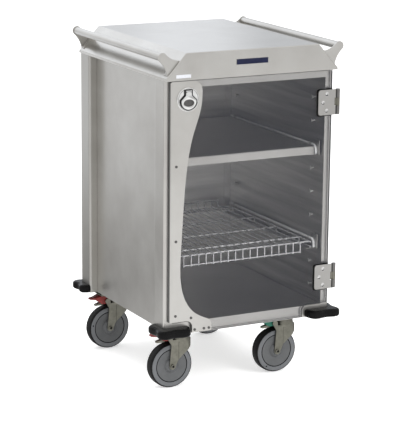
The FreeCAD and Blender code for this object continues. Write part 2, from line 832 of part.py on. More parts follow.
def drilled(points, y0, y1, radius):
    return Part.makeCompound([rod(V(x, y0, z), V(0, 1, 0), radius, y1 - y0) for x, z in points])


def latch_hole(y0, y1):
    return rod(V(latch_x, y0, latch_z), V(0, 1, 0), latch_body_d / 2 + hole_fit, y1 - y0)


screw_hole = screw_d / 2 + hole_fit
clear = pulled(door_outline(x_door_left, x_door_right, z_door_bottom, z_door_top, y_door),
               V(0, door_thick, 0))
clear = clear.cut(drilled(stiff_points + leaf_points, y_door, y_door_back, screw_hole))
save("door_sheet", clear.cut(latch_hole(y_door, y_door_back)))


# Stiffener plate: broad round pad at the latch, slim waist, swept foot
def stiffener():
    y = y_stiff
    r = stiff_pad_r
    k = math.sqrt(0.5)
    left, top = x_door_left, z_door_top
    pad = left + stiff_pad_width
    width_down = stiff_pad_width - stiff_waist
    waist = left + stiff_waist
    c = door_corner_r
    n, a = notch_r, x_notch_left
    foot_z = z_door_bottom + stiff_toe_rise
    neck_z = top - r - stiff_screw_inset / 2
    swoop = Part.BSplineCurve()
    foot_down = foot_right - waist
    pts = [V(pad, y, neck_z),
           V(waist + width_down * 0.60, y, top - stiff_shoulder_drop),
           V(waist + width_down * 0.18, y, top - stiff_taper_drop),
           V(waist, y, z_door_bottom + stiff_waist_rise),
           V(waist + foot_down * 0.125, y, z_door_bottom + stiff_sweep_rise),
           V(waist + foot_down * 0.464, y, z_door_bottom + stiff_ankle_rise),
           V(foot_right - stiff_toe_tip / 2, y, foot_z)]
    swoop.interpolate(pts, InitialTangent=V(0, 0, -1), FinalTangent=V(1, 0, -0.45))
    edges = [
        line((left + c, y, top), (pad - r, y, top)),
        arc((pad - r, y, top), (pad - r + r * k, y, top - r + r * k), (pad, y, top - r)),
        line((pad, y, top - r), (pad, y, neck_z)),
        swoop.toShape(),
        line((foot_right - stiff_toe_tip / 2, y, foot_z), (foot_right, y, foot_z - stiff_toe_tip)),
        line((foot_right, y, foot_z - stiff_toe_tip), (foot_right, y, z_door_bottom)),
        line((foot_right, y, z_door_bottom), (a, y, z_door_bottom)),
        line((a, y, z_door_bottom), (a, y, notch_top - n)),
        arc((a, y, notch_top - n), (a - n + n * k, y, notch_top - n + n * k), (a - n, y, notch_top)),
        line((a - n, y, notch_top), (left, y, notch_top)),
        line((left, y, notch_top), (left, y, top - c)),
        arc((left, y, top - c), (left + c - c * k, y, top - c + c * k), (left + c, y, top)),
    ]
    plate = pulled(edges, V(0, stiff_thick, 0))
    plate = plate.cut(drilled(stiff_points, y, y_door, screw_hole))
    return plate.cut(latch_hole(y, y_door))


save("door_stiffener", stiffener())


def screw(x, z, y_seat, y_end):
    head = rod(V(x, y_seat, z), V(0, -1, 0), screw_head_d / 2, screw_head_thick)
    head = head.makeFillet(screw_head_thick * 0.6, [e for e in head.Edges
                           if e.BoundBox.YLength < 1e-6 and e.CenterOfMass.y < y_seat - 1])
    return joined([head, rod(V(x, y_seat, z), V(0, 1, 0), screw_d / 2, y_end - y_seat)])


save("stiffener_screws", [screw(x, z, y_stiff, y_door_back) for x, z in stiff_points])
save("hinge_screws_door", [screw(x, z, y_leaf, y_door_back) for x, z in leaf_points])


# Hinges: door leaf with upper and lower knuckles, cabinet leaf with the middle one
knuckle = hinge_height / 3
pin_r = hinge_pin_d / 2


def door_leaf(z_mid):
    z0 = z_mid - hinge_height / 2
    r = hinge_leaf_r
    plate = box(leaf_left, hinge_x, y_leaf, y_leaf + hinge_leaf_thick, z0, z0 + hinge_height)
    plate = fillet_where(plate, r, lambda e: e.BoundBox.YLength > hinge_leaf_thick / 2
                         and abs(e.CenterOfMass.x - leaf_left) < 1e-4
                         and e.BoundBox.ZLength < 1e-4)
    cut = box(hinge_x - hinge_cutback, hinge_x + 1, y_leaf - 1, hinge_y + hinge_knuckle_r,
              z_mid - knuckle / 2, z_mid + knuckle / 2)
    ends = [rod(V(hinge_x, hinge_y, z0), V(0, 0, 1), hinge_knuckle_r, knuckle),
            rod(V(hinge_x, hinge_y, z0 + 2 * knuckle), V(0, 0, 1), hinge_knuckle_r, knuckle)]
    bore = rod(V(hinge_x, hinge_y, z0), V(0, 0, 1), pin_r, hinge_height)
    leaf = joined([plate] + ends).cut(cut).cut(bore)
    return leaf.cut(drilled(leaf_points, y_leaf, y_leaf + hinge_leaf_thick, screw_hole))


def cabinet_leaf(z_mid):
    z0 = z_mid - hinge_height / 2
    t = hinge_leaf_thick
    plate = box(x_post, x_post + t, leaf_front, leaf_back, z0, z0 + hinge_height)
    plate = fillet_where(plate, hinge_leaf_r, lambda e: e.BoundBox.XLength > t / 2
                         and abs(e.CenterOfMass.y - leaf_back) < 1e-4
                         and e.BoundBox.ZLength < 1e-4)
    low = z_mid - knuckle / 2 + hinge_knuckle_gap
    tall = knuckle - 2 * hinge_knuckle_gap
    neck = slab([(x_post, leaf_front + t, low), (x_post + t, leaf_front + t, low),
                 (hinge_x, hinge_y + hinge_knuckle_r - 1, low),
                 (hinge_x, hinge_y - hinge_knuckle_r + 1, low),
                 (x_post, hinge_y, low)], V(0, 0, tall))
    barrel = rod(V(hinge_x, hinge_y, low), V(0, 0, 1), hinge_knuckle_r, tall)
    bore = rod(V(hinge_x, hinge_y, z0), V(0, 0, 1), pin_r + run_fit, hinge_height)
    leaf = joined([plate, neck, barrel]).cut(bore)
    sinks = []
    for y, z in side_screw_points(z_mid):
        sinks.append(rod(V(x_post, y, z), V(1, 0, 0), screw_hole, t))
        sinks.append(Part.makeCone(screw_hole, screw_head_d / 2, t - sink_land,
                                   V(x_post + sink_land, y, z), V(1, 0, 0)))
    return leaf.cut(Part.makeCompound(sinks))


def side_screw(y, z):
    # Countersunk screw, flush with the leaf
    t = hinge_leaf_thick
    head = Part.makeCone(screw_d / 2, screw_head_d / 2 - hole_fit, t - sink_land,
                         V(x_post + sink_land, y, z), V(1, 0, 0))
    reach = sheet + side_screw_reach
    shank = rod(V(x_post - reach, y, z), V(1, 0, 0), screw_d / 2, reach + sink_land)
    return joined([head, shank])


def gasket(z_mid):
    z0 = z_mid - hinge_height / 2
    pad_left = leaf_left - hinge_gasket_rim
    pad = box(pad_left, x_door_right, y_door - hinge_gasket_thick, y_door,
              z0 - hinge_gasket_rim, z0 + hinge_height + hinge_gasket_rim)
    pad = fillet_where(pad, hinge_leaf_r, lambda e: e.BoundBox.YLength > hinge_gasket_thick / 2
                       and abs(e.CenterOfMass.x - pad_left) < 1e-4
                       and e.BoundBox.ZLength < 1e-4)
    return pad.cut(drilled(leaf_points, y_door - hinge_gasket_thick, y_door, screw_hole))


save("hinge_leaves_door", [door_leaf(z) for z in z_hinges])
save("hinge_leaves_cabinet", [cabinet_leaf(z) for z in z_hinges])
save("hinge_screws_cabinet", [side_screw(y, z) for y, z in hinge_side_points])
save("hinge_gaskets", [gasket(z) for z in z_hinges])
save("hinge_pins", [rod(V(hinge_x, hinge_y, z - hinge_height / 2), V(0, 0, 1), pin_r, hinge_height)
                    for z in z_hinges])


# Turn latch: flanged cup in the door, rotor and shaft, lift ring and cam
def spun(points):
    # Half profile of radius and depth, spun about the latch axis
    pts = [V(latch_x + r, y, latch_z) for r, y in points]
    face = Part.Face(Part.makePolygon(pts + pts[:1]))
    return face.revolve(V(latch_x, 0, latch_z), V(0, 1, 0), 360)


y_flange = y_stiff - latch_flange_thick
y_rotor_back = y_stiff - latch_cup_floor - seat_gap
y_rotor = y_rotor_back - latch_rotor_thick
body_r = latch_body_d / 2
shaft_r = latch_shaft_d / 2
rotor_r = latch_rotor_d / 2
y_cup_end = y_door_back + latch_cup_tail
flange_r = rotor_r + latch_flange_rim
y_dish = y_stiff - latch_cup_floor
cup = spun([(shaft_r + run_fit, y_dish), (rotor_r + latch_rotor_gap, y_dish),
            (rotor_r + latch_rotor_gap, y_flange + latch_flange_edge),
            (rotor_r + latch_rotor_gap + latch_flange_edge, y_flange),
            (flange_r - latch_flange_edge, y_flange), (flange_r, y_flange + latch_flange_edge),
            (flange_r, y_stiff), (body_r, y_stiff), (body_r, y_cup_end), (shaft_r + run_fit, y_cup_end)])
save("latch_cup", cup)

y_cam = y_front + sheet + strike_thick + cam_gap
cam_reach = latch_x + x_in - strike_thick - cam_wall_gap
y_cam_end = y_cam + cam_thick
y_shaft_end = y_cam_end + cam_nut_thick + 1.0
stub_r = latch_stub_d / 2
z_eye = latch_z - latch_eye_drop
rotor = spun([(0, y_rotor), (rotor_r, y_rotor), (rotor_r, y_rotor_back), (shaft_r, y_rotor_back),
              (shaft_r, y_cam), (stub_r, y_cam), (stub_r, y_shaft_end), (0, y_shaft_end)])
dish = Part.makeSphere(latch_dish_r, V(latch_x, y_rotor - latch_dish_r + latch_dish_depth, z_eye))
pin_z = latch_z + rotor_r - latch_pin_inset
y_lever_back = y_rotor - 0.5
y_lever = y_lever_back - latch_lever_thick
y_pin = (y_lever + y_lever_back) / 2
lug_in = latch_neck_width / 2 + 0.3
lug_r = latch_lever_thick / 2 + 0.4


def lug(side):
    x0 = latch_x + side * lug_in if side > 0 else latch_x - lug_in - latch_lug_thick
    stem = box(x0, x0 + latch_lug_thick, y_pin, y_rotor + latch_rotor_thick / 2,
               pin_z - lug_r, pin_z + lug_r)
    return joined([stem, rod(V(x0, y_pin, pin_z), V(1, 0, 0), lug_r, latch_lug_thick)])


pivot_pin = rod(V(latch_x - lug_in - latch_lug_thick, y_pin, pin_z), V(1, 0, 0), latch_pin_d / 2,
                2 * (lug_in + latch_lug_thick))
save("latch_spindle", joined([rotor.cut(dish), lug(-1), lug(1), pivot_pin]))


def cam():
    # Tapered cam arm hanging down from the shaft, clear of the strike
    y = y_cam
    top_r = cam_width / 2
    tip_r = cam_tip_r
    x, z = latch_x, latch_z
    tip = z - cam_reach + tip_r
    edges = [arc((x - top_r, y, z), (x, y, z + top_r), (x + top_r, y, z)),
             line((x + top_r, y, z), (x + tip_r, y, tip)),
             arc((x + tip_r, y, tip), (x, y, tip - tip_r), (x - tip_r, y, tip)),
             line((x - tip_r, y, tip), (x - top_r, y, z))]
    plate = pulled(edges, V(0, cam_thick, 0))
    nut = rod(V(x, y + cam_thick, z), V(0, 1, 0), cam_nut_d / 2, cam_nut_thick)
    bore = rod(V(x, y, z), V(0, 1, 0), stub_r, cam_thick + cam_nut_thick)
    return joined([plate, nut]).cut(bore)


save("latch_cam", cam())


def lever():
    # Flask-shaped lift ring: round bulb, waisted shoulders and a slim neck at the pin
    y = y_lever_back
    cz = z_eye
    neck = latch_neck_width / 2
    shoulder = latch_shoulder
    ang = math.radians(48)
    bx, bz = latch_bulb_r * math.cos(ang), latch_bulb_r * math.sin(ang)
    top = pin_z
    s_z = cz + latch_bulb_r + 0.5
    x = latch_x
    edges = [arc((x - bx, y, cz + bz), (x, y, cz - latch_bulb_r), (x + bx, y, cz + bz)),
             arc((x + bx, y, cz + bz), (x + shoulder + 0.6, y, cz + bz + 2.0), (x + shoulder, y, s_z - 2.0)),
             line((x + shoulder, y, s_z - 2.0), (x + neck, y, s_z)),
             line((x + neck, y, s_z), (x + neck, y, top)),
             line((x + neck, y, top), (x - neck, y, top)),
             line((x - neck, y, top), (x - neck, y, s_z)),
             line((x - neck, y, s_z), (x - shoulder, y, s_z - 2.0)),
             arc((x - shoulder, y, s_z - 2.0), (x - shoulder - 0.6, y, cz + bz + 2.0), (x - bx, y, cz + bz))]
    plate = pulled(edges, V(0, -latch_lever_thick, 0))
    eye = rod(V(x, y, cz), V(0, -1, 0), latch_eye_r, latch_lever_thick)
    plate = plate.cut(eye)
    knuckle_end = rod(V(x - neck, y_pin, pin_z), V(1, 0, 0), latch_lever_thick / 2, 2 * neck)
    bore = rod(V(x - neck, y_pin, pin_z), V(1, 0, 0), latch_pin_d / 2 + run_fit, 2 * neck)
    return joined([plate, knuckle_end]).cut(bore)


save("latch_lever", lever())

# Strike on the inner wall for the cam to turn behind
x_strike = -x_in
y_strike = y_front + sheet
strike_plate = box(x_strike, x_strike + strike_thick, y_strike, y_strike + strike_depth,
                   latch_z - strike_height / 2, latch_z + strike_height / 2)
strike_bar = box(x_strike, x_strike + strike_lip, y_strike, y_strike + strike_thick,
                 latch_z - strike_height / 2, latch_z + strike_height / 2)
save("latch_strike", joined([strike_plate, strike_bar]))


# Shelf rails: angles hung on the wall studs, beaded top edge turned down at the front
y_rail_front = y_front + rail_front_inset
y_rail_rear = y_in_rear - rail_rear_inset


def stud_row(rise):
    # Row of studs that carries a rail whose ledge is wanted at this rise above the floor
    return round((rise + rail_stud_drop - stud_first) / stud_pitch)


def rail_ledge_z(row):
    return stud_z[row] - rail_stud_drop


upper_row = stud_row(upper_shelf_rise)
lower_row = stud_row(lower_shelf_rise)


def shelf_rail(row):
    low = rail_ledge_z(row) - sheet
    high = low + rail_height
    r = rail_front_r
    k = math.sqrt(0.5)
    f, b = y_rail_front, y_rail_rear
    x0, x1 = x_rail - sheet, x_rail
    edges = [line((x0, f, low), (x0, b, low)), line((x0, b, low), (x0, b, high)),
             line((x0, b, high), (x0, f + r, high)),
             arc((x0, f + r, high), (x0, f + r - r * k, high - r + r * k), (x0, f, high - r)),
             line((x0, f, high - r), (x0, f, low))]
    web = pulled(edges, V(sheet, 0, 0))
    ledge = box(x1 - rail_ledge, x1, f, b, low, low + sheet)
    xm = (x0 + x1) / 2
    path = Part.Wire([line((xm, b, high), (xm, f + r, high)),
                      arc((xm, f + r, high), (xm, f + r - r * k, high - r + r * k), (xm, f, high - r)),
                      line((xm, f, high - r), (xm, f, low + rail_bead_d / 2))])
    ring = Part.Wire([Part.makeCircle(rail_bead_d / 2, V(xm, b, high), V(0, -1, 0))])
    bead = path.makePipeShell([ring], True, True)
    holes = [rod(V(x0, y, stud_z[row]), V(1, 0, 0), stud_shank_d / 2, sheet)
             for y in (y_stud_front, y_stud_rear)]
    # Hook plate behind the web, with an open slot that hangs over the front stud
    hook = box(x1, x1 + sheet, f - hook_front, f - hook_front + hook_length, low, high + hook_rise)
    half = stud_shank_d / 2
    slot = box(x1, x1 + sheet, y_stud_front - half, y_stud_front + half, low, stud_z[row])
    eye = rod(V(x1, y_stud_front, stud_z[row]), V(1, 0, 0), half, sheet)
    hook = hook.cut(slot).cut(eye)
    return joined([web, ledge, bead, hook]).cut(Part.makeCompound(holes))


for name, row in (("upper", upper_row), ("lower", lower_row)):
    right_rail = shelf_rail(row)
    save("shelf_rails_" + name, [right_rail, mirror_x(right_rail)])


# Upper shelf: sheet tray folded down on four sides, standing on the rail ledges
x_shelf = x_rail - shelf_side_gap
y_shelf_front = y_rail_front
y_shelf_rear = y_rail_rear
shelf_low = rail_ledge_z(upper_row) + seat_gap
shelf_top = shelf_low + shelf_height
tray = box(-x_shelf, x_shelf, y_shelf_front, y_shelf_rear, shelf_low, shelf_top)
tray = fillet_where(tray, shelf_fold_r, lambda e: min(v.Point.z for v in e.Vertexes) > shelf_low + 1)
tray_hollow = box(-x_shelf + shelf_thick, x_shelf - shelf_thick, y_shelf_front + shelf_thick,
                  y_shelf_rear - shelf_thick, shelf_low, shelf_top - shelf_thick)
tray_hollow = fillet_where(tray_hollow, shelf_fold_r - shelf_thick,
                           lambda e: min(v.Point.z for v in e.Vertexes) > shelf_low + 1)
save("shelf_solid", tray.cut(tray_hollow))


# Wire shelf: bent front-to-back wires on cross wires, with side ladders down to the ledges
def bent_wire(points, diameter, bend):
    # Round wire along a path of straights joined by arcs
    edges = []
    start = V(*points[0])
    for i in range(1, len(points) - 1):
        p, a, b = V(*points[i]), V(*points[i - 1]), V(*points[i + 1])
        ua, ub = (a - p).normalize(), (b - p).normalize()
        t = bend / math.tan(ua.getAngle(ub) / 2)
        s, e = p + ua * t, p + ub * t
        half = (ua + ub).normalize()
        centre = p + half * (bend / math.sin(ua.getAngle(ub) / 2))
        edges.append(Part.LineSegment(start, s).toShape())
        edges.append(Part.Arc(s, centre - half * bend, e).toShape())
        start = e
    edges.append(Part.LineSegment(start, V(*points[-1])).toShape())
    ring = Part.Wire([Part.makeCircle(diameter / 2, V(*points[0]), V(*points[1]) - V(*points[0]))])
    return Part.Wire(edges).makePipeShell([ring], True, True)


def wire_shelf():
    fr, wr = frame_wire_d / 2, wire_d / 2
    low = rail_ledge_z(lower_row) + seat_gap
    z_deck_wire = low + wire_deck_rise
    z_cross = z_deck_wire - wr - fr + 1.0
    z_side = low + fr
    xs = x_shelf - fr
    f, b = y_shelf_front + wr, y_shelf_rear - wr
    half_count = int((xs - wire_side_gap) / wire_pitch)
    span = half_count * wire_pitch
    wire_count = 2 * half_count + 1
    cross_run = b - f - cross_first - cross_first / 2
    cross_count = int(cross_run / cross_pitch) + 2
    cross_y = [f + cross_first + i * cross_run / (cross_count - 1) for i in range(cross_count)]
    pieces = []
    for i in range(wire_count):
        x = -span + i * wire_pitch
        pieces.append(bent_wire([(x, f, z_deck_wire - wire_lip), (x, f, z_deck_wire), (x, b, z_deck_wire),
                                 (x, b, z_deck_wire + wire_back_lip)], wire_d, wire_d * 1.5))
    for y in cross_y:
        pieces.append(rod(V(-xs, y, z_cross), V(1, 0, 0), fr, 2 * xs))
    for y in (f + 3 * wire_d, b - 3 * wire_d):
        pieces.append(rod(V(-xs, y, z_cross), V(1, 0, 0), fr, 2 * xs))
    lip_end = span + wr
    z_front_lip = z_deck_wire - wire_lip + wire_d
    z_back_lip = z_deck_wire + wire_back_lip - wire_d
    pieces.append(rod(V(-lip_end, f + 1.2 * wr, z_front_lip), V(1, 0, 0), wr, 2 * lip_end))
    pieces.append(rod(V(-lip_end, b - 1.2 * wr, z_back_lip), V(1, 0, 0), wr, 2 * lip_end))
    for side in (-1, 1):
        x = side * xs
        pieces.append(rod(V(x, f + fr, z_side), V(0, 1, 0), fr, b - f - 2 * fr))
        pieces.append(rod(V(x, f + fr, z_cross), V(0, 1, 0), fr, b - f - 2 * fr))
        for y in cross_y:
            pieces.append(rod(V(x, y, z_side), V(0, 0, 1), wr, z_cross - z_side))
    return joined(pieces)


save("shelf_wire", wire_shelf())
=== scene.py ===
import bmesh
import bpy
import json
import math
from mathutils import Matrix, Vector


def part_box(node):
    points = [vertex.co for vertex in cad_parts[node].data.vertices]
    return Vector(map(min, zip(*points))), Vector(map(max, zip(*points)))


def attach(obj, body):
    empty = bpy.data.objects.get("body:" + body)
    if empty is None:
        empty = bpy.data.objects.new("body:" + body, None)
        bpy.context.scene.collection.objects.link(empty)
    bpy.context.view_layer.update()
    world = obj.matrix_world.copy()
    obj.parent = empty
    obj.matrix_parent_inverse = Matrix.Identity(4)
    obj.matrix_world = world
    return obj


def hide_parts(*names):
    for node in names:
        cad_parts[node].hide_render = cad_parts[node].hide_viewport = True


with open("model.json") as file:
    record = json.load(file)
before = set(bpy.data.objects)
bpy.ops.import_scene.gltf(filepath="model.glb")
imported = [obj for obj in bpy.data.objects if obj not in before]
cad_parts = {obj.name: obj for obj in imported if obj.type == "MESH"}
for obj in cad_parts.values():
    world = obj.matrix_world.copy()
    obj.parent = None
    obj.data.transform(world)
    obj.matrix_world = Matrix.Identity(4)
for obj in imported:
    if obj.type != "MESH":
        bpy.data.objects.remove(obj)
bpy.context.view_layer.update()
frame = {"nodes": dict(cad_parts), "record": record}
cadNodes = frame["nodes"]
nodeBody = {node: body for body, names in frame["record"]["behaviour"]["bodies"].items() for node in names}
nodeSlot = {part["node"]: part["material_slot"] for part in frame["record"]["subparts"]}
corners = ("front_left", "front_right", "rear_left", "rear_right")
print("frame loaded,", len(cadNodes), "nodes")


# camera where the photograph was taken from, its lens worked out from a focal length in pixels
cameraView = dict(place=(-3.0095, -5.8112, 2.0670), azimuth=-27.50, elevation=13.37, roll=0.584,
                  focalPixels=1973.7, frameHeight=432, sensor=36.0, farEnd=100)


def placeCamera(c):
    lens = bpy.data.cameras.new("viewCamera")
    lens.sensor_width = c["sensor"]
    lens.lens = c["focalPixels"] / c["frameHeight"] * c["sensor"]
    lens.clip_end = c["farEnd"]
    camera = bpy.data.objects.new("viewCamera", lens)
    bpy.context.scene.collection.objects.link(camera)
    turn = Matrix.Rotation(math.radians(c["azimuth"]), 4, "Z")
    tilt = Matrix.Rotation(math.radians(90 - c["elevation"]), 4, "X")
    roll = Matrix.Rotation(math.radians(c["roll"]), 4, "Z")
    camera.matrix_world = Matrix.Translation(c["place"]) @ turn @ tilt @ roll
    bpy.context.scene.camera = camera


placeCamera(cameraView)
print("camera placed")


# shared helpers for node trees
noiseBand = (0.3, 0.7)  # most of a noise lies in this part of its range
mixSockets = dict(first=6, second=7, result=2)  # a Mix node's colour sockets share their names with others


def newFinish(name):
    finish = bpy.data.materials.new(name)
    finish.use_nodes = True
    return finish, finish.node_tree, finish.node_tree.nodes["Principled BSDF"]


def addNode(tree, kind, **settings):
    node = tree.nodes.new(kind)
    for key, value in settings.items():
        if key in node.inputs:
            node.inputs[key].default_value = value
        else:
            setattr(node, key, value)
    return node


def mapped(tree, value, low, high, band=noiseBand):
    node = addNode(tree, "ShaderNodeMapRange")
    node.inputs["From Min"].default_value, node.inputs["From Max"].default_value = band
    node.inputs["To Min"].default_value = low
    node.inputs["To Max"].default_value = high
    tree.links.new(value, node.inputs["Value"])
    return node.outputs["Result"]


def axisShare(tree, coords, axis, low, high):
    parts = addNode(tree, "ShaderNodeSeparateXYZ")
    tree.links.new(coords, parts.inputs[0])
    return mapped(tree, parts.outputs[axis], 0.0, 1.0, (low, high))


def colourRamp(tree, value, stops):
    ramp = addNode(tree, "ShaderNodeValToRGB")
    elements = ramp.color_ramp.elements
    while len(elements) < len(stops):
        elements.new(0.5)
    for element, (position, colour) in zip(elements, stops):
        element.position = position
    for element, (position, colour) in zip(elements, stops):  # colours last, once the stops stand in order
        element.color = (*colour, 1)
    tree.links.new(value, ramp.inputs["Fac"])
    return ramp.outputs["Color"]


def toneRamp(tree, value, tones, tint=(1, 1, 1)):
    return colourRamp(tree, value, [(position, [tone * share for share in tint]) for position, tone in tones])


def tinted(tree, value, dark, light):
    return colourRamp(tree, value, list(zip(noiseBand, (dark, light))))


def mixColours(tree, first, second, blend, share=None):
    mix = addNode(tree, "ShaderNodeMix", data_type="RGBA", blend_type=blend, Factor=1.0)
    if share is not None:
        tree.links.new(share, mix.inputs["Factor"])
    tree.links.new(first, mix.inputs[mixSockets["first"]])
    tree.links.new(second, mix.inputs[mixSockets["second"]])
    return mix.outputs[mixSockets["result"]]


def objectNoise(tree, stretch, detail):
    coords = addNode(tree, "ShaderNodeTexCoord")
    mapping = addNode(tree, "ShaderNodeMapping", Scale=stretch)
    noise = addNode(tree, "ShaderNodeTexNoise", Scale=1.0, Detail=detail, Roughness=0.6)
    tree.links.new(coords.outputs["Object"], mapping.inputs["Vector"])
    tree.links.new(mapping.outputs["Vector"], noise.inputs["Vector"])
    return noise.outputs["Fac"]


def bumped(tree, shader, height, look):
    bump = addNode(tree, "ShaderNodeBump", Strength=look["bumpStrength"], Distance=look["bumpDepth"])
    tree.links.new(height, bump.inputs["Height"])
    tree.links.new(bump.outputs["Normal"], shader.inputs["Normal"])


# studio: pale floor, soft boxes, a surround that fades downwards and cards that only reflections see
studio = dict(floorSize=60.0, floorColour=(0.9, 0.9, 0.9, 1), floorGlow=0.5, floorRough=0.7,
              surround=((0.0, 0.42), (0.46, 0.60), (0.55, 1.0), (1.0, 1.15)), surroundStrength=0.85)
softBoxes = dict(
    key=dict(place=(1.6, -4.6, 3.6), aim=(0, 0, 0.6), size=2.6, power=150),
    top=dict(place=(-0.6, 0.4, 4.4), aim=(0, 0, 0.8), size=3.2, power=110),
)
cards = dict(
    floor=dict(size=16.0, place=(0, 0, 0.0006), turn=(0, 0, -30), reach=6.0, across="Y", tint=(1, 1, 1),
               tones=((0.0, 0.9), (0.28, 0.98), (0.42, 1.22), (0.48, 0.8), (0.54, 0.34), (0.62, 0.6), (0.72, 0.86),
                      (1.0, 0.9))),
    back=dict(size=5.0, place=(1.2, 2.6, 2.1), turn=(90, 0, 0), reach=2.5, across="X", tint=(0.97, 1.0, 1.05),
              tones=((0.0, 1.3), (0.36, 1.3), (0.43, 0.86), (0.48, 1.06), (0.54, 1.02), (0.60, 0.72), (1.0, 0.7))),
)


def addSoftBox(name, s):
    light = bpy.data.lights.new(name, "AREA")
    light.size = s["size"]
    light.energy = s["power"]
    lamp = bpy.data.objects.new(name, light)
    bpy.context.scene.collection.objects.link(lamp)
    lamp.visible_glossy = False  # the cards make the reflections
    lamp.location = s["place"]
    lamp.rotation_mode = "QUATERNION"
    lamp.rotation_quaternion = (Vector(s["aim"]) - Vector(s["place"])).to_track_quat("-Z", "Y")


def addPlane(name, size):
    bpy.ops.object.select_all(action="DESELECT")
    bpy.ops.mesh.primitive_plane_add(size=size)
    plane = bpy.context.object
    plane.name = name
    return plane


def addCard(name, c):
    card = addPlane(name, c["size"])
    card.location = c["place"]
    card.rotation_euler = [math.radians(angle) for angle in c["turn"]]
    paint = bpy.data.materials.new(name + "Paint")
    paint.use_nodes = True
    tree = paint.node_tree
    coords = addNode(tree, "ShaderNodeTexCoord").outputs["Object"]
    glow = addNode(tree, "ShaderNodeEmission")
    share = axisShare(tree, coords, c["across"], -c["reach"], c["reach"])
    tree.links.new(toneRamp(tree, share, c["tones"], c["tint"]), glow.inputs["Color"])
    tree.links.new(glow.outputs[0], tree.nodes["Material Output"].inputs["Surface"])
    card.data.materials.append(paint)
    card.visible_camera = card.visible_diffuse = card.visible_shadow = False


def addSurround(s):
    world = bpy.data.worlds.new("studioSurround")
    world.use_nodes = True
    tree = world.node_tree
    glow = tree.nodes["Background"]
    coords = addNode(tree, "ShaderNodeTexCoord").outputs["Generated"]
    share = axisShare(tree, coords, "Z", -1.0, 1.0)
    tree.links.new(toneRamp(tree, share, s["surround"]), glow.inputs["Color"])
    glow.inputs["Strength"].default_value = s["surroundStrength"]
    bpy.context.scene.world = world
    bpy.context.scene.view_settings.view_transform = "Standard"


def addFloor(s):
    floor = addPlane("studioFloor", s["floorSize"])
    paint, tree, shader = newFinish("floorPaint")
    shader.inputs["Base Color"].default_value = s["floorColour"]
    shader.inputs["Roughness"].default_value = s["floorRough"]
    shader.inputs["Emission Color"].default_value = s["floorColour"]
    shader.inputs["Emission Strength"].default_value = s["floorGlow"]
    floor.data.materials.append(paint)
    floor.visible_glossy = False


addSurround(studio)
for name, box in softBoxes.items():
    addSoftBox(name + "SoftBox", box)
for name, card in cards.items():
    addCard(name + "Card", card)
addFloor(studio)
print("studio built")


# painted shade that gathers in a seam (short reach) and dulls the inside of the cabinet (long reach)
seamShade = dict(samples=12, openness=(0.15, 0.75), doorSide=(0.05, 0.25))


def shaded(tree, colour, reach, darkest, litFront=True):
    shade = addNode(tree, "ShaderNodeAmbientOcclusion", Distance=reach, samples=seamShade["samples"])
    share = mapped(tree, shade.outputs["AO"], darkest, 1.0, seamShade["openness"])
    if litFront:  # faces to the door keep their light
        facing = addNode(tree, "ShaderNodeTexCoord").outputs["Normal"]
        lit = mapped(tree, axisShare(tree, facing, "Y", -1.0, 1.0), 1.0, 0.0, seamShade["doorSide"])
        light = addNode(tree, "ShaderNodeMath", operation="MAXIMUM")
        tree.links.new(share, light.inputs[0])
        tree.links.new(lit, light.inputs[1])
        share = light.outputs[0]
    return mixColours(tree, colour, share, "MULTIPLY")


# brushed stainless sheet: fine parallel grain, cloudy polish, a little handling haze, and painted shade in its seams
# and inside the cabinet
steelLook = dict(dark=(0.52, 0.505, 0.48), light=(0.62, 0.61, 0.585), rough=(0.27, 0.40), grainAcross=900,
                 grainAlong=9, grainDetail=3.0, grainShare=0.6, cloud=(5.5, 5.5, 5.5), cloudDetail=4.0,
                 bumpStrength=0.12, bumpDepth=0.00005, corner=(0.012, 0.45), hollow=(0.55, 0.76))


def brushedSteel(name, grainAxis, look=steelLook):
    finish, tree, shader = newFinish(name)
    stretch = [look["grainAcross"]] * 3
    stretch["XYZ".index(grainAxis)] = look["grainAlong"]
    grain = objectNoise(tree, stretch, look["grainDetail"])
    cloud = objectNoise(tree, look["cloud"], look["cloudDetail"])
    shader.inputs["Metallic"].default_value = 1.0
    colour = tinted(tree, cloud, look["dark"], look["light"])
    if "inside" in look:  # streaks on the inner face only, the outer one as the other sheets
        plainCloud = objectNoise(tree, steelLook["cloud"], steelLook["cloudDetail"])
        plain = tinted(tree, plainCloud, steelLook["dark"], steelLook["light"])
        facing = addNode(tree, "ShaderNodeTexCoord").outputs["Normal"]
        outward = mapped(tree, axisShare(tree, facing, look["inside"], -1.0, 1.0), 0.0, 1.0)
        colour = mixColours(tree, colour, plain, "MIX", outward)
    # painted shade: darker in seams (short reach) and inside the cabinet (long reach)
    for reach, darkest in (look["corner"], look["hollow"]):
        colour = shaded(tree, colour, reach, darkest)
    # bands of tone along an axis, here painted shade together with a part's own tone
    if "zones" in look:
        axis, start, stop, tones = look["zones"]
        coords = addNode(tree, "ShaderNodeTexCoord").outputs["Object"]
        zones = toneRamp(tree, axisShare(tree, coords, axis, start, stop), tones)
        colour = mixColours(tree, colour, zones, "MULTIPLY")
    tree.links.new(colour, shader.inputs["Base Color"])
    cloudPart = addNode(tree, "ShaderNodeMath", operation="MULTIPLY")
    cloudPart.inputs[1].default_value = 1 - look["grainShare"]
    tree.links.new(cloud, cloudPart.inputs[0])
    polish = addNode(tree, "ShaderNodeMath", operation="MULTIPLY_ADD")
    polish.inputs[1].default_value = look["grainShare"]
    tree.links.new(grain, polish.inputs[0])
    tree.links.new(cloudPart.outputs[0], polish.inputs[2])
    tree.links.new(mapped(tree, polish.outputs[0], *look["rough"]), shader.inputs["Roughness"])
    bumped(tree, shader, grain, look)
    return finish
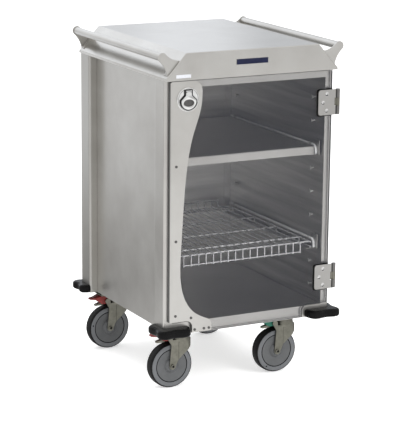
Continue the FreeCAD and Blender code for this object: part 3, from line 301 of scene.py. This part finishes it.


# plain noisy finish for plating, plastic and rubber; a finish with a corner entry also takes painted shade near other
# parts
mouldedDetail = dict(mottle=4.0, fine=2.0)
finishLooks = dict(
    zincPlate=dict(dark=(0.195, 0.19, 0.16), light=(0.27, 0.264, 0.222), rough=(0.30, 0.44), mottle=70, fine=900,
                   metal=1.0, corner=(0.05, 0.35), bumpStrength=0.1, bumpDepth=0.00008),
    fastenerSteel=dict(dark=(0.45, 0.44, 0.42), light=(0.6, 0.59, 0.57), rough=(0.22, 0.34), mottle=120,
                       fine=1500, metal=1.0, bumpStrength=0.1, bumpDepth=0.00004),
    polishedChrome=dict(dark=(0.70, 0.70, 0.69), light=(0.82, 0.82, 0.81), rough=(0.06, 0.14), mottle=60, fine=700,
                        metal=1.0, bumpStrength=0.05, bumpDepth=0.00004),
    platedWire=dict(dark=(0.52, 0.52, 0.52), light=(0.65, 0.65, 0.65), rough=(0.14, 0.24), mottle=80, fine=900,
                    metal=0.55, bumpStrength=0.08, bumpDepth=0.00004),
    blackRubber=dict(dark=(0.0025, 0.0025, 0.0026), light=(0.005, 0.005, 0.005), rough=(0.20, 0.32), mottle=40,
                     fine=1100, specular=0.1, bumpStrength=0.25, bumpDepth=0.00015),
    treadRubber=dict(dark=(0.005, 0.005, 0.005), light=(0.010, 0.010, 0.010), rough=(0.5, 0.68), mottle=60,
                     fine=900, specular=0.15, bumpStrength=0.3, bumpDepth=0.0002),
    wheelPlastic=dict(dark=(0.084, 0.087, 0.090), light=(0.100, 0.103, 0.106), rough=(0.42, 0.55), mottle=50,
                      fine=1300, bumpStrength=0.15, bumpDepth=0.0001),
    wheelRing=dict(dark=(0.116, 0.121, 0.128), light=(0.134, 0.139, 0.147), rough=(0.36, 0.5), mottle=50,
                   fine=1300, bumpStrength=0.15, bumpDepth=0.0001),
    grooveShade=dict(dark=(0.006, 0.006, 0.007), light=(0.010, 0.010, 0.011), rough=(0.6, 0.8), mottle=60, fine=900,
                     specular=0.1, bumpStrength=0.1, bumpDepth=0.0001),
    paneEdge=dict(dark=(0.095, 0.095, 0.097), light=(0.125, 0.125, 0.127), rough=(0.3, 0.5), mottle=80, fine=1400,
                  specular=0.3, bumpStrength=0.1, bumpDepth=0.0001),
    navyEnamel=dict(dark=(0.005, 0.007, 0.026), light=(0.009, 0.012, 0.040), rough=(0.30, 0.42), mottle=90, fine=1600,
                    specular=0.2, bumpStrength=0.08, bumpDepth=0.00005),
    paperLabel=dict(dark=(0.47, 0.48, 0.51), light=(0.56, 0.57, 0.60), rough=(0.5, 0.62), mottle=180, fine=2400,
                    bumpStrength=0.12, bumpDepth=0.00005),
    # rail bead: near white and barely metal, a painted highlight on the steel bead
    brightRail=dict(dark=(0.74, 0.74, 0.735), light=(0.84, 0.84, 0.835), rough=(0.22, 0.34), mottle=60, fine=900,
                    metal=0.1, bumpStrength=0.08, bumpDepth=0.00005),
    darkFastener=dict(dark=(0.10, 0.10, 0.10), light=(0.17, 0.165, 0.16), rough=(0.28, 0.42), mottle=120, fine=1500,
                      metal=1.0, bumpStrength=0.1, bumpDepth=0.00004),
    redPlastic=dict(dark=(0.17, 0.013, 0.011), light=(0.23, 0.020, 0.017), rough=(0.38, 0.5), mottle=60, fine=1200,
                    bumpStrength=0.15, bumpDepth=0.0001),
    greenPlastic=dict(dark=(0.004, 0.12, 0.075), light=(0.008, 0.17, 0.11), rough=(0.38, 0.5), mottle=60, fine=1200,
                      bumpStrength=0.15, bumpDepth=0.0001),
)


def mouldedFinish(name, look):
    finish, tree, shader = newFinish(name)
    mottle = objectNoise(tree, [look["mottle"]] * 3, mouldedDetail["mottle"])
    fine = objectNoise(tree, [look["fine"]] * 3, mouldedDetail["fine"])
    shader.inputs["Metallic"].default_value = look.get("metal", 0.0)
    shader.inputs["Specular IOR Level"].default_value = look.get("specular", 0.5)
    colour = tinted(tree, mottle, look["dark"], look["light"])
    # painted shade: darker where other parts come close, as under the cabinet
    if "corner" in look:
        colour = shaded(tree, colour, *look["corner"], litFront=False)
    tree.links.new(colour, shader.inputs["Base Color"])
    tree.links.new(mapped(tree, fine, *look["rough"]), shader.inputs["Roughness"])
    bumped(tree, shader, fine, look)
    return finish


finishes = {name: mouldedFinish(name, look) for name, look in finishLooks.items()}
for axis in "XYZ":
    finishes["steelAlong" + axis] = brushedSteel("steelAlong" + axis, axis)


# sheets of their own: streaked inner walls, a hinge leaf with painted shade where it curls, polished cover, rear posts
# darkened as painted shade
ownSteel = dict(
    innerWall=("Y", dict(dark=(0.37, 0.365, 0.355), light=(0.82, 0.81, 0.785), cloud=(14, 1.1, 26), bumpStrength=0.03,
                         hollow=(0.55, 0.9), inside="X")),
    rearWall=("X", dict(dark=(0.50, 0.495, 0.485), light=(0.80, 0.79, 0.77), cloud=(1.3, 14, 24), bumpStrength=0.03,
                        hollow=(0.55, 0.9), inside="Y")),
    # hinge leaf: a painted shadow where the leaf curls into its barrel, then a darker barrel, its own tone with painted
    # shading across its round
    hingeSteel=("X", dict(dark=(0.40, 0.39, 0.375), light=(0.47, 0.46, 0.445), rough=(0.30, 0.42),
                          zones=("X", 0.300, 0.330, ((0.0, 1.0), (0.27, 1.0), (0.32, 0.13), (0.45, 0.13),
                                                     (0.50, 0.42), (0.75, 0.55), (1.0, 0.35))))),
    coverSteel=("X", dict(rough=(0.17, 0.27), bumpStrength=0.06)),
    # rear posts: a darker copy of the sheet, painted shade
    postSteel=("Z", dict(dark=(0.42, 0.41, 0.385), light=(0.49, 0.48, 0.455))),
)
for name, (axis, change) in ownSteel.items():
    finishes[name] = brushedSteel(name, axis, dict(steelLook, **change))


# clear door sheet: nearly colourless, with a faint haze of fine scratches
clearLook = dict(colour=(0.15, 0.155, 0.185, 1), alpha=0.08, rough=(0.03, 0.10), scratch=260, scratchDetail=5.0)


def clearFinish(look):
    finish, tree, shader = newFinish("clearSheet")
    haze = objectNoise(tree, [look["scratch"]] * 3, look["scratchDetail"])
    shader.inputs["Base Color"].default_value = look["colour"]
    shader.inputs["Alpha"].default_value = look["alpha"]
    tree.links.new(mapped(tree, haze, *look["rough"]), shader.inputs["Roughness"])
    return finish


finishes["clearSheet"] = clearFinish(clearLook)


# finish for each of the record's slots, grain direction of the steel sheets, and nodes with a finish of their own
slotFinish = dict(zinc_steel="zincPlate", fastener_steel="fastenerSteel", latch_chrome="polishedChrome",
                  shelf_wire="platedWire", clear_sheet="clearSheet", black_rubber="blackRubber",
                  wheel_grey="wheelPlastic", tread_black="treadRubber", pedal_red="redPlastic",
                  pedal_green="greenPlastic")
grainAlong = dict(X=("floor_pan", "front_top_rail", "ceiling_panel", "shelf_solid"),
                  Y=("handle_tube_left", "handle_tube_right"))
grainOf = {node: axis for axis, names in grainAlong.items() for node in names}
ownFinish = dict(top_cover="coverSteel", side_panel_right="innerWall", rear_panel="rearWall",
                 post_rear_left="postSteel", post_rear_right="postSteel", stiffener_screws="darkFastener",
                 hinge_leaves_door="hingeSteel", hinge_leaves_cabinet="zincPlate", hinge_pins="darkFastener")


def finishFor(node):
    if node in ownFinish:
        return finishes[ownFinish[node]]
    if nodeSlot[node] in slotFinish:
        return finishes[slotFinish[nodeSlot[node]]]
    return finishes["steelAlong" + grainOf.get(node, "Z")]


for node, piece in cadNodes.items():
    for slot in piece.material_slots:
        slot.material = finishFor(node)
print("finishes made,", len(finishes))


# helpers to model a piece by hand in edit mode
squareness = dict(face=0.9, edge=0.99, edgeOn=0.5)  # how closely a face or an edge keeps to an axis
mergeGap = 0.00001


def startPiece(addPrimitive, **settings):
    if bpy.context.mode != "OBJECT":
        bpy.ops.object.mode_set(mode="OBJECT")
    bpy.ops.object.select_all(action="DESELECT")
    addPrimitive(**settings)
    bpy.ops.object.transform_apply(location=True, rotation=True, scale=True)
    bpy.ops.object.mode_set(mode="EDIT")
    return bpy.context.object


def startBox(place, size):
    return startPiece(bpy.ops.mesh.primitive_cube_add, size=1, location=place, scale=size)


def startRod(sides, radius, length, place=(0, 0, 0), scale=(1, 1, 1)):  # lies along Y
    return startPiece(bpy.ops.mesh.primitive_cylinder_add, vertices=sides, radius=radius, depth=length,
                      location=place, rotation=(math.pi / 2, 0, 0), scale=scale)


def pick(kind, test):
    bpy.ops.mesh.select_mode(type=kind)
    bpy.ops.mesh.select_all(action="DESELECT")
    mesh = bpy.context.object.data
    shape = bmesh.from_edit_mesh(mesh)
    for item in dict(EDGE=shape.edges, FACE=shape.faces)[kind]:
        if test(item):
            item.select_set(True)
    bmesh.update_edit_mesh(mesh)


def points(face, axis, sign=0):  # no sign means both ways
    tilt = face.normal["XYZ".index(axis)]
    return (tilt * sign if sign else abs(tilt)) > squareness["face"]


def isEdgeOn(face, axis):
    return abs(face.normal["XYZ".index(axis)]) < squareness["edgeOn"]


def lies(edge, axis):
    return abs((edge.verts[1].co - edge.verts[0].co).normalized()["XYZ".index(axis)]) > squareness["edge"]


def middleOf(edge):
    return (edge.verts[0].co + edge.verts[1].co) / 2


def moveAlong(x=0, y=0, z=0):
    bpy.ops.mesh.extrude_region_move(TRANSFORM_OT_translate=dict(value=(x, y, z)))


def bevelEdges(width, steps):
    bpy.ops.mesh.bevel(offset=width, segments=steps, affect="EDGES")


def insetRings(rings):
    for inward, outward in rings:
        bpy.ops.mesh.inset(thickness=inward, depth=outward, use_individual=True)


# helpers for a whole piece, to place, cut, copy and join it and to hand it over to its body
def settle(piece, place=(0, 0, 0), turn=(0, 0, 0)):
    if bpy.context.mode != "OBJECT":
        bpy.ops.object.mode_set(mode="OBJECT")
    bpy.ops.object.select_all(action="DESELECT")
    bpy.context.view_layer.objects.active = piece
    piece.select_set(True)
    piece.location = place
    piece.rotation_euler = turn
    bpy.ops.object.transform_apply(location=True, rotation=True, scale=True)


def finishPiece(piece, name, body, looks, nodes=(), smoothAngle=35):
    settle(piece)
    piece.name = piece.data.name = name
    bpy.ops.object.shade_smooth_by_angle(angle=math.radians(smoothAngle))
    while len(piece.data.materials) < len(looks):
        piece.data.materials.append(None)
    for place, look in enumerate(looks):
        piece.data.materials[place] = finishes[look]
    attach(piece, body)
    if nodes:
        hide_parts(*nodes)


def paintFaces(piece, place, test):
    for face in piece.data.polygons:
        if test(face):
            face.material_index = place


def ownCopy(piece):
    twin = piece.copy()
    twin.data = piece.data.copy()
    twin.parent = None
    twin.matrix_world = Matrix.Identity(4)
    bpy.context.scene.collection.objects.link(twin)
    return twin


def mergedCopy(node):
    twin = ownCopy(cadNodes[node])
    settle(twin)
    bpy.ops.mesh.customdata_custom_splitnormals_clear()
    bpy.ops.object.mode_set(mode="EDIT")
    bpy.ops.mesh.select_all(action="SELECT")
    bpy.ops.mesh.remove_doubles(threshold=mergeGap)
    return twin


def cutWith(piece, cutter):
    settle(cutter)
    settle(piece)
    cut = piece.modifiers.new("cut", "BOOLEAN")
    cut.object = cutter
    cut.operation = "DIFFERENCE"
    bpy.ops.object.modifier_apply(modifier=cut.name)
    bpy.data.objects.remove(cutter)


def soften(piece, width, steps, sharpAngle):
    rounding = piece.modifiers.new("rounding", "BEVEL")
    rounding.width = width
    rounding.segments = steps
    rounding.limit_method = "ANGLE"
    rounding.angle_limit = math.radians(sharpAngle)
    bpy.ops.object.modifier_apply(modifier=rounding.name)


def mirrored(piece):
    settle(piece)
    piece.scale.x = -1
    bpy.ops.object.transform_apply(location=False, rotation=False, scale=True)
    bpy.ops.object.mode_set(mode="EDIT")
    bpy.ops.mesh.select_all(action="SELECT")
    bpy.ops.mesh.normals_make_consistent(inside=False)
    bpy.ops.object.mode_set(mode="OBJECT")


def joinPieces(first, *others):
    for piece in (first, *others):
        settle(piece)
    for piece in (first, *others):
        piece.select_set(True)
    bpy.context.view_layer.objects.active = first
    bpy.ops.object.join()
    return first


def centreOf(node):
    low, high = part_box(node)
    return (Vector(low) + Vector(high)) / 2


def reachOf(face, x=0):  # distance from an axis along Y
    return math.hypot(face.center.x - x, face.center.z)


# caster wheel: light outer ring, a groove in painted shade, dished disc and hub, one valve hole with painted shade in
# it; modelled once, copied to each corner
wheelCore = dict(rim=0.0709, halfWidth=0.0184, sides=96, groove=(0.0538, 0.0573),
                 rings=((0.0012, 0.0006), (0.0126, 0.0), (0.0004, -0.0026), (0.0022, 0.0), (0.0004, 0.0022),
                        (0.0240, -0.0012), (0.0060, -0.0024), (0.0060, 0.0062), (0.0010, 0.0008), (0.0107, 0.0)),
                 hole=dict(radius=0.0027, place=0.064, sides=20, deep=0.1),
                 turns=dict(front_left=75, front_right=234, rear_left=169, rear_right=20))


def modelWheel(w):
    wheel = startRod(w["sides"], w["rim"], 2 * w["halfWidth"])
    pick("FACE", lambda face: points(face, "Y"))
    insetRings(w["rings"])
    bpy.ops.mesh.bridge_edge_loops()
    hole = w["hole"]
    cutWith(wheel, startRod(hole["sides"], hole["radius"], hole["deep"], (hole["place"], 0, 0)))
    grooveLow, grooveHigh = w["groove"]
    paintFaces(wheel, 2, lambda face: reachOf(face) <= grooveLow)
    # painted shade in the groove and on the walls of the valve hole
    paintFaces(wheel, 1, lambda face: grooveLow < reachOf(face) < grooveHigh)
    paintFaces(wheel, 1, lambda face: reachOf(face, hole["place"]) < hole["radius"] and isEdgeOn(face, "Y"))
    return wheel


wheelMaster = modelWheel(wheelCore)
for corner in corners:
    wheel = ownCopy(wheelMaster)
    settle(wheel, centreOf("wheel_" + corner), (0, -math.radians(wheelCore["turns"][corner]), 0))
    finishPiece(wheel, "casterWheel_" + corner, "wheel_" + corner,
                ("wheelRing", "grooveShade", "wheelPlastic"), ("wheel_" + corner,))
bpy.data.objects.remove(wheelMaster)
print("wheels modelled")


# clear door: the sheet itself with darker cut edges, which outline the door
doorPane = dict(flatAngle=1.0, facing=0.7)


def buildPane(d):
    pane = mergedCopy("door_sheet")
    bpy.ops.mesh.dissolve_limited(angle_limit=math.radians(d["flatAngle"]))
    bpy.ops.object.mode_set(mode="OBJECT")
    paintFaces(pane, 1, lambda face: abs(face.normal.y) <= d["facing"])
    finishPiece(pane, "doorPane", "door", ("clearSheet", "paneEdge"), ("door_sheet",))


buildPane(doorPane)
print("door sheet done")


# lift ring of the latch: a flask with a bevelled rim and a wide finger eye, set in a dark surround of the same outline
# that paints the shadow in the gap round the ring and in the eye
latch = dict(centre=(-0.233, 0.979), sides=64,
             frame=dict(bulb=0.0290, hip=(0.0286, 0.0048), neck=(0.0132, 0.0197), neckTop=0.0375, front=-0.3404,
                        back=-0.3352),
             frameWall=0.0021, pocket=0.0049, pocketMargin=0.001,
             ring=dict(bulb=0.0265, hip=(0.0262, 0.004), neck=(0.0105, 0.019), neckTop=0.0285, front=-0.3407,
                       back=-0.3357),
             tongue=0.0065, tongueTop=0.0355, tongueStep=0.0001, knuckle=0.0024, knuckleSteps=4, knuckleMargin=0.0005,
             rim=0.0011, rimSteps=3, rimMargin=0.001,
             eye=dict(half=0.0182, flat=0.62, drop=-0.005, sides=48, deep=0.02))


def modelFlask(sides, f):
    flask = startRod(sides, f["bulb"], f["back"] - f["front"], (0, (f["front"] + f["back"]) / 2, 0))
    (hipX, hipZ), (neckX, neckZ) = f["hip"], f["neck"]
    for side in (-1, 1):
        bpy.ops.mesh.select_all(action="SELECT")
        outward = Vector((side * (neckZ - hipZ), 0, hipX - neckX)).normalized()
        bpy.ops.mesh.bisect(plane_co=(side * hipX, 0, hipZ), plane_no=outward, use_fill=True, clear_outer=True,
                            threshold=mergeGap)
    bpy.ops.mesh.select_all(action="SELECT")
    bpy.ops.mesh.bisect(plane_co=(0, 0, neckZ), plane_no=(0, 0, 1), use_fill=True, clear_outer=True)
    pick("FACE", lambda face: points(face, "Z", 1))
    moveAlong(z=f["neckTop"] - neckZ)
    return flask


def buildSurround(c):
    x, z = c["centre"]
    surround = modelFlask(c["sides"], c["frame"])
    pick("FACE", lambda face: points(face, "Y", -1))
    bpy.ops.mesh.inset(thickness=c["frameWall"], depth=-c["pocket"], use_individual=False)
    settle(surround, (x, 0, z))
    pocketFrom = c["frame"]["front"] + c["pocketMargin"]
    # the pocket floor seen through the eye is painted dark, a painted shadow
    paintFaces(surround, 1, lambda face: points(face, "Y", -1) and face.center.y > pocketFrom)
    finishPiece(surround, "latchSurround", "latch", ("blackRubber", "darkFastener"))


def isRim(edge, top):
    return (not lies(edge, "Y") and middleOf(edge).z < top
            and any(points(face, "Y") for face in edge.link_faces)
            and any(isEdgeOn(face, "Y") for face in edge.link_faces))


def buildLiftRing(c):
    x, z = c["centre"]
    r, e = c["ring"], c["eye"]
    ring = modelFlask(c["sides"], r)
    moveAlong(z=c["tongueStep"])
    bpy.ops.transform.resize(value=(c["tongue"] / r["neck"][0], 1, 1), center_override=(0, 0, 0))
    moveAlong(z=c["tongueTop"] - r["neckTop"] - c["tongueStep"])
    pick("EDGE", lambda edge: lies(edge, "X") and middleOf(edge).z > c["tongueTop"] - c["knuckleMargin"])
    bevelEdges(c["knuckle"], c["knuckleSteps"])
    cutWith(ring, startRod(e["sides"], e["half"], e["deep"], (0, r["front"], e["drop"]), (1, e["flat"], 1)))
    bpy.ops.object.mode_set(mode="EDIT")
    pick("EDGE", lambda edge: isRim(edge, r["neckTop"] - c["rimMargin"]))
    bevelEdges(c["rim"], c["rimSteps"])
    settle(ring, (x, 0, z))
    finishPiece(ring, "latchLiftRing", "lift_ring", ("polishedChrome",), ("latch_lever",))


buildSurround(latch)
buildLiftRing(latch)
print("latch modelled")


# bare enamel plate and a blank paper label on the cover's front
coverMarks = dict(front=-0.338, cornerSteps=4, sink=0.2, fieldArea=0.0002,
                  plate=dict(low=(-0.0640, 1.0845), high=(0.0515, 1.1035), thick=0.0012, corner=0.0016, rim=0.0007),
                  label=dict(low=(-0.2775, 1.0545), high=(-0.2255, 1.0650), thick=0.0003, corner=0.0012, rim=0.0004))


def buildMark(name, c, m, looks):
    low, high = m["low"], m["high"]
    mark = startBox(((low[0] + high[0]) / 2, c["front"] - m["thick"] / 2, (low[1] + high[1]) / 2),
                    (high[0] - low[0], m["thick"], high[1] - low[1]))
    pick("EDGE", lambda edge: lies(edge, "Y"))
    bevelEdges(m["corner"], c["cornerSteps"])
    pick("FACE", lambda face: points(face, "Y", -1))
    bpy.ops.mesh.inset(thickness=m["rim"], depth=-m["thick"] * c["sink"])
    bpy.ops.object.mode_set(mode="OBJECT")
    paintFaces(mark, 1, lambda face: not points(face, "Y", -1) or face.area <= c["fieldArea"])
    finishPiece(mark, name, "cabinet", looks)


buildMark("coverPlate", coverMarks, coverMarks["plate"], ("navyEnamel", "fastenerSteel"))
buildMark("coverLabel", coverMarks, coverMarks["label"], ("paperLabel", "paperLabel"))
print("cover plate and label placed")


# brake arm under each pedal: a bent steel strip that the pedal carries; both are modelled about the caster's swivel
swivelTrail = 0.036
brakeArm = dict(root=(-0.0615, -0.0555), halfWide=0.008, top=0.168, low=0.1565, reach=-0.0245, fall=-0.0035,
                tip=(0.85, 0.5), edge=0.0008, edgeSteps=2)


def swivelOf(corner):
    axle = centreOf("axle_" + corner)
    return axle.x + swivelTrail, axle.y, 0


def modelBrakeArm(b):
    far, near = b["root"]
    arm = startBox(((near + far) / 2, 0, (b["top"] + b["low"]) / 2),
                   (near - far, 2 * b["halfWide"], b["top"] - b["low"]))
    pick("FACE", lambda face: points(face, "X", -1))
    moveAlong(x=b["reach"], z=b["fall"])
    bpy.ops.transform.resize(value=(1, *b["tip"]))
    bpy.ops.mesh.select_all(action="SELECT")
    bevelEdges(b["edge"], b["edgeSteps"])
    settle(arm)
    return arm


armMaster = modelBrakeArm(brakeArm)
for corner in corners:
    arm = ownCopy(armMaster)
    settle(arm, swivelOf(corner))
    finishPiece(arm, "brakeArm_" + corner, "pedal_" + corner, ("zincPlate",))
bpy.data.objects.remove(armMaster)
print("brake arms placed")


# shelf rails: an angle with a bright bead along its top edge, bent down at the front, and a hook plate at the wall; the
# bead is painted bright, a painted highlight
shelfRail = dict(wall=0.270, sheet=0.002, ledge=0.030, rear=0.314, front=-0.283, height=0.031, bend=0.016, bendSteps=8,
                 edge=0.0004, beadRadius=0.0042, beadSides=16, low=dict(upper=0.755, lower=0.435),
                 plate=dict(rear=-0.262, front=-0.302, height=0.051, thick=0.002, corner=0.004, cornerSteps=4,
                            window=0.006, windowSink=0.6))


def modelAngle(r):
    web = startBox((r["wall"] - r["sheet"] / 2, (r["rear"] + r["front"]) / 2, r["height"] / 2),
                   (r["sheet"], r["rear"] - r["front"], r["height"]))
    pick("EDGE", lambda edge: lies(edge, "X") and middleOf(edge).y < 0 and middleOf(edge).z > r["height"] / 2)
    bevelEdges(r["bend"], r["bendSteps"])
    bpy.ops.mesh.select_all(action="SELECT")
    bpy.ops.mesh.bisect(plane_co=(0, 0, r["sheet"]), plane_no=(0, 0, 1))
    pick("FACE", lambda face: points(face, "X", -1) and face.calc_center_median().z < r["sheet"])
    moveAlong(x=r["sheet"] - r["ledge"])
    pick("EDGE", lambda edge: lies(edge, "Y") or lies(edge, "X"))
    bevelEdges(r["edge"], 1)
    return web


def modelBead(r):
    side = r["wall"] - r["sheet"] / 2
    bead = startPiece(bpy.ops.mesh.primitive_circle_add, vertices=r["beadSides"], radius=r["beadRadius"],
                      fill_type="NGON", location=(side, r["rear"], r["height"]), rotation=(math.pi / 2, 0, 0))
    bpy.ops.mesh.select_all(action="SELECT")
    moveAlong(y=r["front"] + r["bend"] - r["rear"])
    bpy.ops.mesh.spin(steps=r["bendSteps"], angle=-math.pi / 2, axis=(1, 0, 0),
                      center=(side, r["front"] + r["bend"], r["height"] - r["bend"]))
    moveAlong(z=r["bend"] + r["beadRadius"] - r["height"])
    bpy.ops.mesh.select_all(action="SELECT")
    bpy.ops.mesh.remove_doubles(threshold=mergeGap)
    bpy.ops.mesh.normals_make_consistent(inside=False)
    return bead


def modelHookPlate(p, wall):
    plate = startBox((wall + p["thick"] / 2, (p["rear"] + p["front"]) / 2, p["height"] / 2),
                     (p["thick"], p["rear"] - p["front"], p["height"]))
    pick("EDGE", lambda edge: lies(edge, "X"))
    bevelEdges(p["corner"], p["cornerSteps"])
    pick("FACE", lambda face: points(face, "X", -1))
    bpy.ops.mesh.inset(thickness=p["window"], depth=-p["thick"] * p["windowSink"])
    return plate


def railPair(master, height):
    right, left = ownCopy(master), ownCopy(master)
    for part in (right, left):
        settle(part, (0, 0, height))
    mirrored(left)
    return joinPieces(left, right)


railAngle, railBead = modelAngle(shelfRail), modelBead(shelfRail)
railAngle = joinPieces(railAngle, modelHookPlate(shelfRail["plate"], shelfRail["wall"]))
for level, height in shelfRail["low"].items():
    finishPiece(railPair(railAngle, height), "shelfAngles_" + level, "cabinet", ("steelAlongY",),
                ("shelf_rails_" + level,))
    finishPiece(railPair(railBead, height), "railBeads_" + level, "cabinet", ("brightRail",))
bpy.data.objects.remove(railAngle)
bpy.data.objects.remove(railBead)
print("shelf rails modelled")


# lock pedal: humped body on a barrel, drawn out into a narrow ribbed lip; stations give place, low, high and half width
lockPedal = dict(root=0.002, edge=0.0016, edgeSteps=3, sharpAngle=28,
                 stations=((-0.044, 0.164, 0.186, 0.021), (-0.0595, 0.164, 0.1935, 0.021),
                           (-0.068, 0.1655, 0.1938, 0.021), (-0.078, 0.1745, 0.1900, 0.0198),
                           (-0.088, 0.1805, 0.1865, 0.0175), (-0.100, 0.1812, 0.1860, 0.0140),
                           (-0.1075, 0.1818, 0.1852, 0.0090)),
                 ribs=((-0.091, 0.0130), (-0.0965, 0.0115), (-0.102, 0.0095)), ribHigh=0.1868, ribWide=0.0022,
                 ribSides=12, ribEnd=0.25,
                 pivot=(-0.046, 0.174), barrelRadius=0.007, barrelHalf=0.0215, barrelSides=32,
                 barrelRim=(0.0008, 0.0003))


def modelPedalBody(d):
    x, low, high, half = d["stations"][0]
    body = startBox((x, 0, (low + high) / 2), (d["root"], 2 * half, high - low))
    pick("FACE", lambda face: points(face, "X", -1))
    at = x - d["root"] / 2
    for nextX, nextLow, nextHigh, nextHalf in d["stations"][1:]:
        middle, nextMiddle = (low + high) / 2, (nextLow + nextHigh) / 2
        moveAlong(x=nextX - at, z=nextMiddle - middle)
        bpy.ops.transform.resize(value=(1, nextHalf / half, (nextHigh - nextLow) / (high - low)),
                                 center_override=(nextX, 0, nextMiddle))
        at, low, high, half = nextX, nextLow, nextHigh, nextHalf
    settle(body)
    soften(body, d["edge"], d["edgeSteps"], d["sharpAngle"])
    return body


def modelRib(d, x, half):
    radius, end = d["ribWide"] / 2, d["ribWide"] * d["ribEnd"]
    rib = startRod(d["ribSides"], radius, 2 * half, (x, 0, d["ribHigh"] - radius))
    pick("FACE", lambda face: points(face, "Y"))
    insetRings(((end, end),))
    return rib


def modelPedal(d):
    body = modelPedalBody(d)
    ribs = [modelRib(d, x, half) for x, half in d["ribs"]]
    barrel = startRod(d["barrelSides"], d["barrelRadius"], 2 * d["barrelHalf"], (d["pivot"][0], 0, d["pivot"][1]))
    pick("FACE", lambda face: points(face, "Y"))
    insetRings((d["barrelRim"],))
    return joinPieces(body, barrel, *ribs)


pedalMaster = modelPedal(lockPedal)
for corner in corners:
    pedal = ownCopy(pedalMaster)
    settle(pedal, swivelOf(corner))
    colour = nodeSlot["pedal_" + corner]
    finishPiece(pedal, "lockPedal_" + corner, "pedal_" + corner, (slotFinish[colour],), ("pedal_" + corner,))
bpy.data.objects.remove(pedalMaster)
print("pedals modelled")


# axle bolt: shaft through hub and fork, low domed heads with a round recess
axleBolt = dict(shaft=0.006, shaftHalf=0.0272, head=0.0072, headStep=0.0001, sides=32, recessMargin=0.0003,
                rings=((0.0, 0.0030), (0.0008, 0.0008), (0.0022, 0.0004), (0.0004, -0.0018)))


def modelAxle(a):
    axle = startRod(a["sides"], a["shaft"], 2 * a["shaftHalf"])
    pick("FACE", lambda face: points(face, "Y"))
    insetRings(((0.0, a["headStep"]),))
    bpy.ops.transform.resize(value=(a["head"] / a["shaft"], 1, a["head"] / a["shaft"]), center_override=(0, 0, 0))
    insetRings(a["rings"])
    settle(axle)
    recess = a["head"] - sum(inward for inward, outward in a["rings"]) + a["recessMargin"]
    # the recess is painted dark, a painted shade
    paintFaces(axle, 1, lambda face: reachOf(face) < recess and points(face, "Y"))
    return axle


axleMaster = modelAxle(axleBolt)
for corner in corners:
    axle = ownCopy(axleMaster)
    settle(axle, centreOf("axle_" + corner))
    finishPiece(axle, "axleBolt_" + corner, "caster_" + corner, ("zincPlate", "grooveShade"),
                ("axle_" + corner,))
bpy.data.objects.remove(axleMaster)
print("axle bolts modelled")


# dark pad behind each door hinge leaf, a little larger than the leaf
hingePad = dict(left=0.2398, right=0.297, front=-0.332, back=-0.330, heights=((0.8925, 0.9835), (0.3015, 0.3925)),
                corner=0.009, cornerSteps=6, cornerMargin=0.001, edge=0.0005, edgeSteps=2)


def modelPad(d, low, high):
    pad = startBox(((d["left"] + d["right"]) / 2, (d["front"] + d["back"]) / 2, (low + high) / 2),
                   (d["right"] - d["left"], d["back"] - d["front"], high - low))
    pick("EDGE", lambda edge: lies(edge, "Y") and middleOf(edge).x < d["left"] + d["cornerMargin"])
    bevelEdges(d["corner"], d["cornerSteps"])
    pick("FACE", lambda face: points(face, "Y", -1))
    bevelEdges(d["edge"], d["edgeSteps"])
    return pad


hingePads = joinPieces(*[modelPad(hingePad, low, high) for low, high in hingePad["heights"]])
finishPiece(hingePads, "hingePads", "door", ("blackRubber",), ("hinge_gaskets",))
print("hinge pads modelled")


# door hinge screws: domed head with a cross recess on a washer, shank through the sheet; modelled once; washer rim,
# recess and the underside of the head carry painted shadow
hingeScrew = dict(washer=0.0070, washerThick=0.0005, washerMargin=0.0001, shank=0.0024, tail=0.0135, sides=28,
                  dome=((0.0009, 0.0), (0.0002, 0.0014), (0.0011, 0.0010), (0.0015, 0.0007), (0.0013, 0.0003)),
                  slot=(0.0052, 0.0022, 0.0011), slotPlace=-0.0037, slotFloor=-0.0026, headFrom=-0.001,
                  seat=-0.335, shadeTilt=-0.2,
                  spots=((0.275, 0.9655), (0.261, 0.938), (0.275, 0.9105), (0.275, 0.3745), (0.261, 0.347),
                         (0.275, 0.3195)))


def modelScrew(w):
    screw = startRod(w["sides"], w["washer"], w["washerThick"], (0, -w["washerThick"] / 2, 0))
    pick("FACE", lambda face: points(face, "Y", -1))
    insetRings(w["dome"])
    pick("FACE", lambda face: points(face, "Y", 1))
    insetRings(((w["washer"] - w["shank"], 0.0), (0.0, w["tail"])))
    long, deep, thin = w["slot"]
    for size in ((long, deep, thin), (thin, deep, long)):
        cutWith(screw, startBox((0, w["slotPlace"], 0), size))
    # painted shadow: the washer's rim round the head and the walls and floor of the cross recess
    collar = w["washer"] - w["dome"][0][0] - w["washerMargin"]
    paintFaces(screw, 1, lambda face: reachOf(face) > collar)
    paintFaces(screw, 1, lambda face: face.center.y < w["headFrom"] and reachOf(face) < long / 2
               and (isEdgeOn(face, "Y") or face.center.y > w["slotFloor"]))
    return screw


def buildScrews(w):
    master = modelScrew(w)
    screws = []
    for x, z in w["spots"]:
        screw = ownCopy(master)
        settle(screw, (x, w["seat"], z), (0, x + z, 0))  # each cross at another turn
        screws.append(screw)
    bpy.data.objects.remove(master)
    screws = joinPieces(*screws)
    # painted shadow under the heads
    paintFaces(screws, 1, lambda face: face.normal.z < w["shadeTilt"] and face.center.y < w["seat"])
    finishPiece(screws, "hingeScrews", "door", ("polishedChrome", "grooveShade"),
                ("hinge_screws_door",))


buildScrews(hingeScrew)
print("hinge screws modelled")


# corner bumpers: the lobed block of the frame with a lower crown
cornerBumper = dict(crown=0.82, smoothAngle=60)


def buildBumper(corner, b):
    node = "bumper_" + corner
    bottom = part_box(node)[0][2]
    bumper = mergedCopy(node)
    bpy.ops.transform.resize(value=(1, 1, b["crown"]), center_override=(0, 0, bottom))
    finishPiece(bumper, "cornerBumper_" + corner, nodeBody[node], ("blackRubber",), (node,),
                b["smoothAngle"])


for corner in corners:
    buildBumper(corner, cornerBumper)
print("bumpers done")
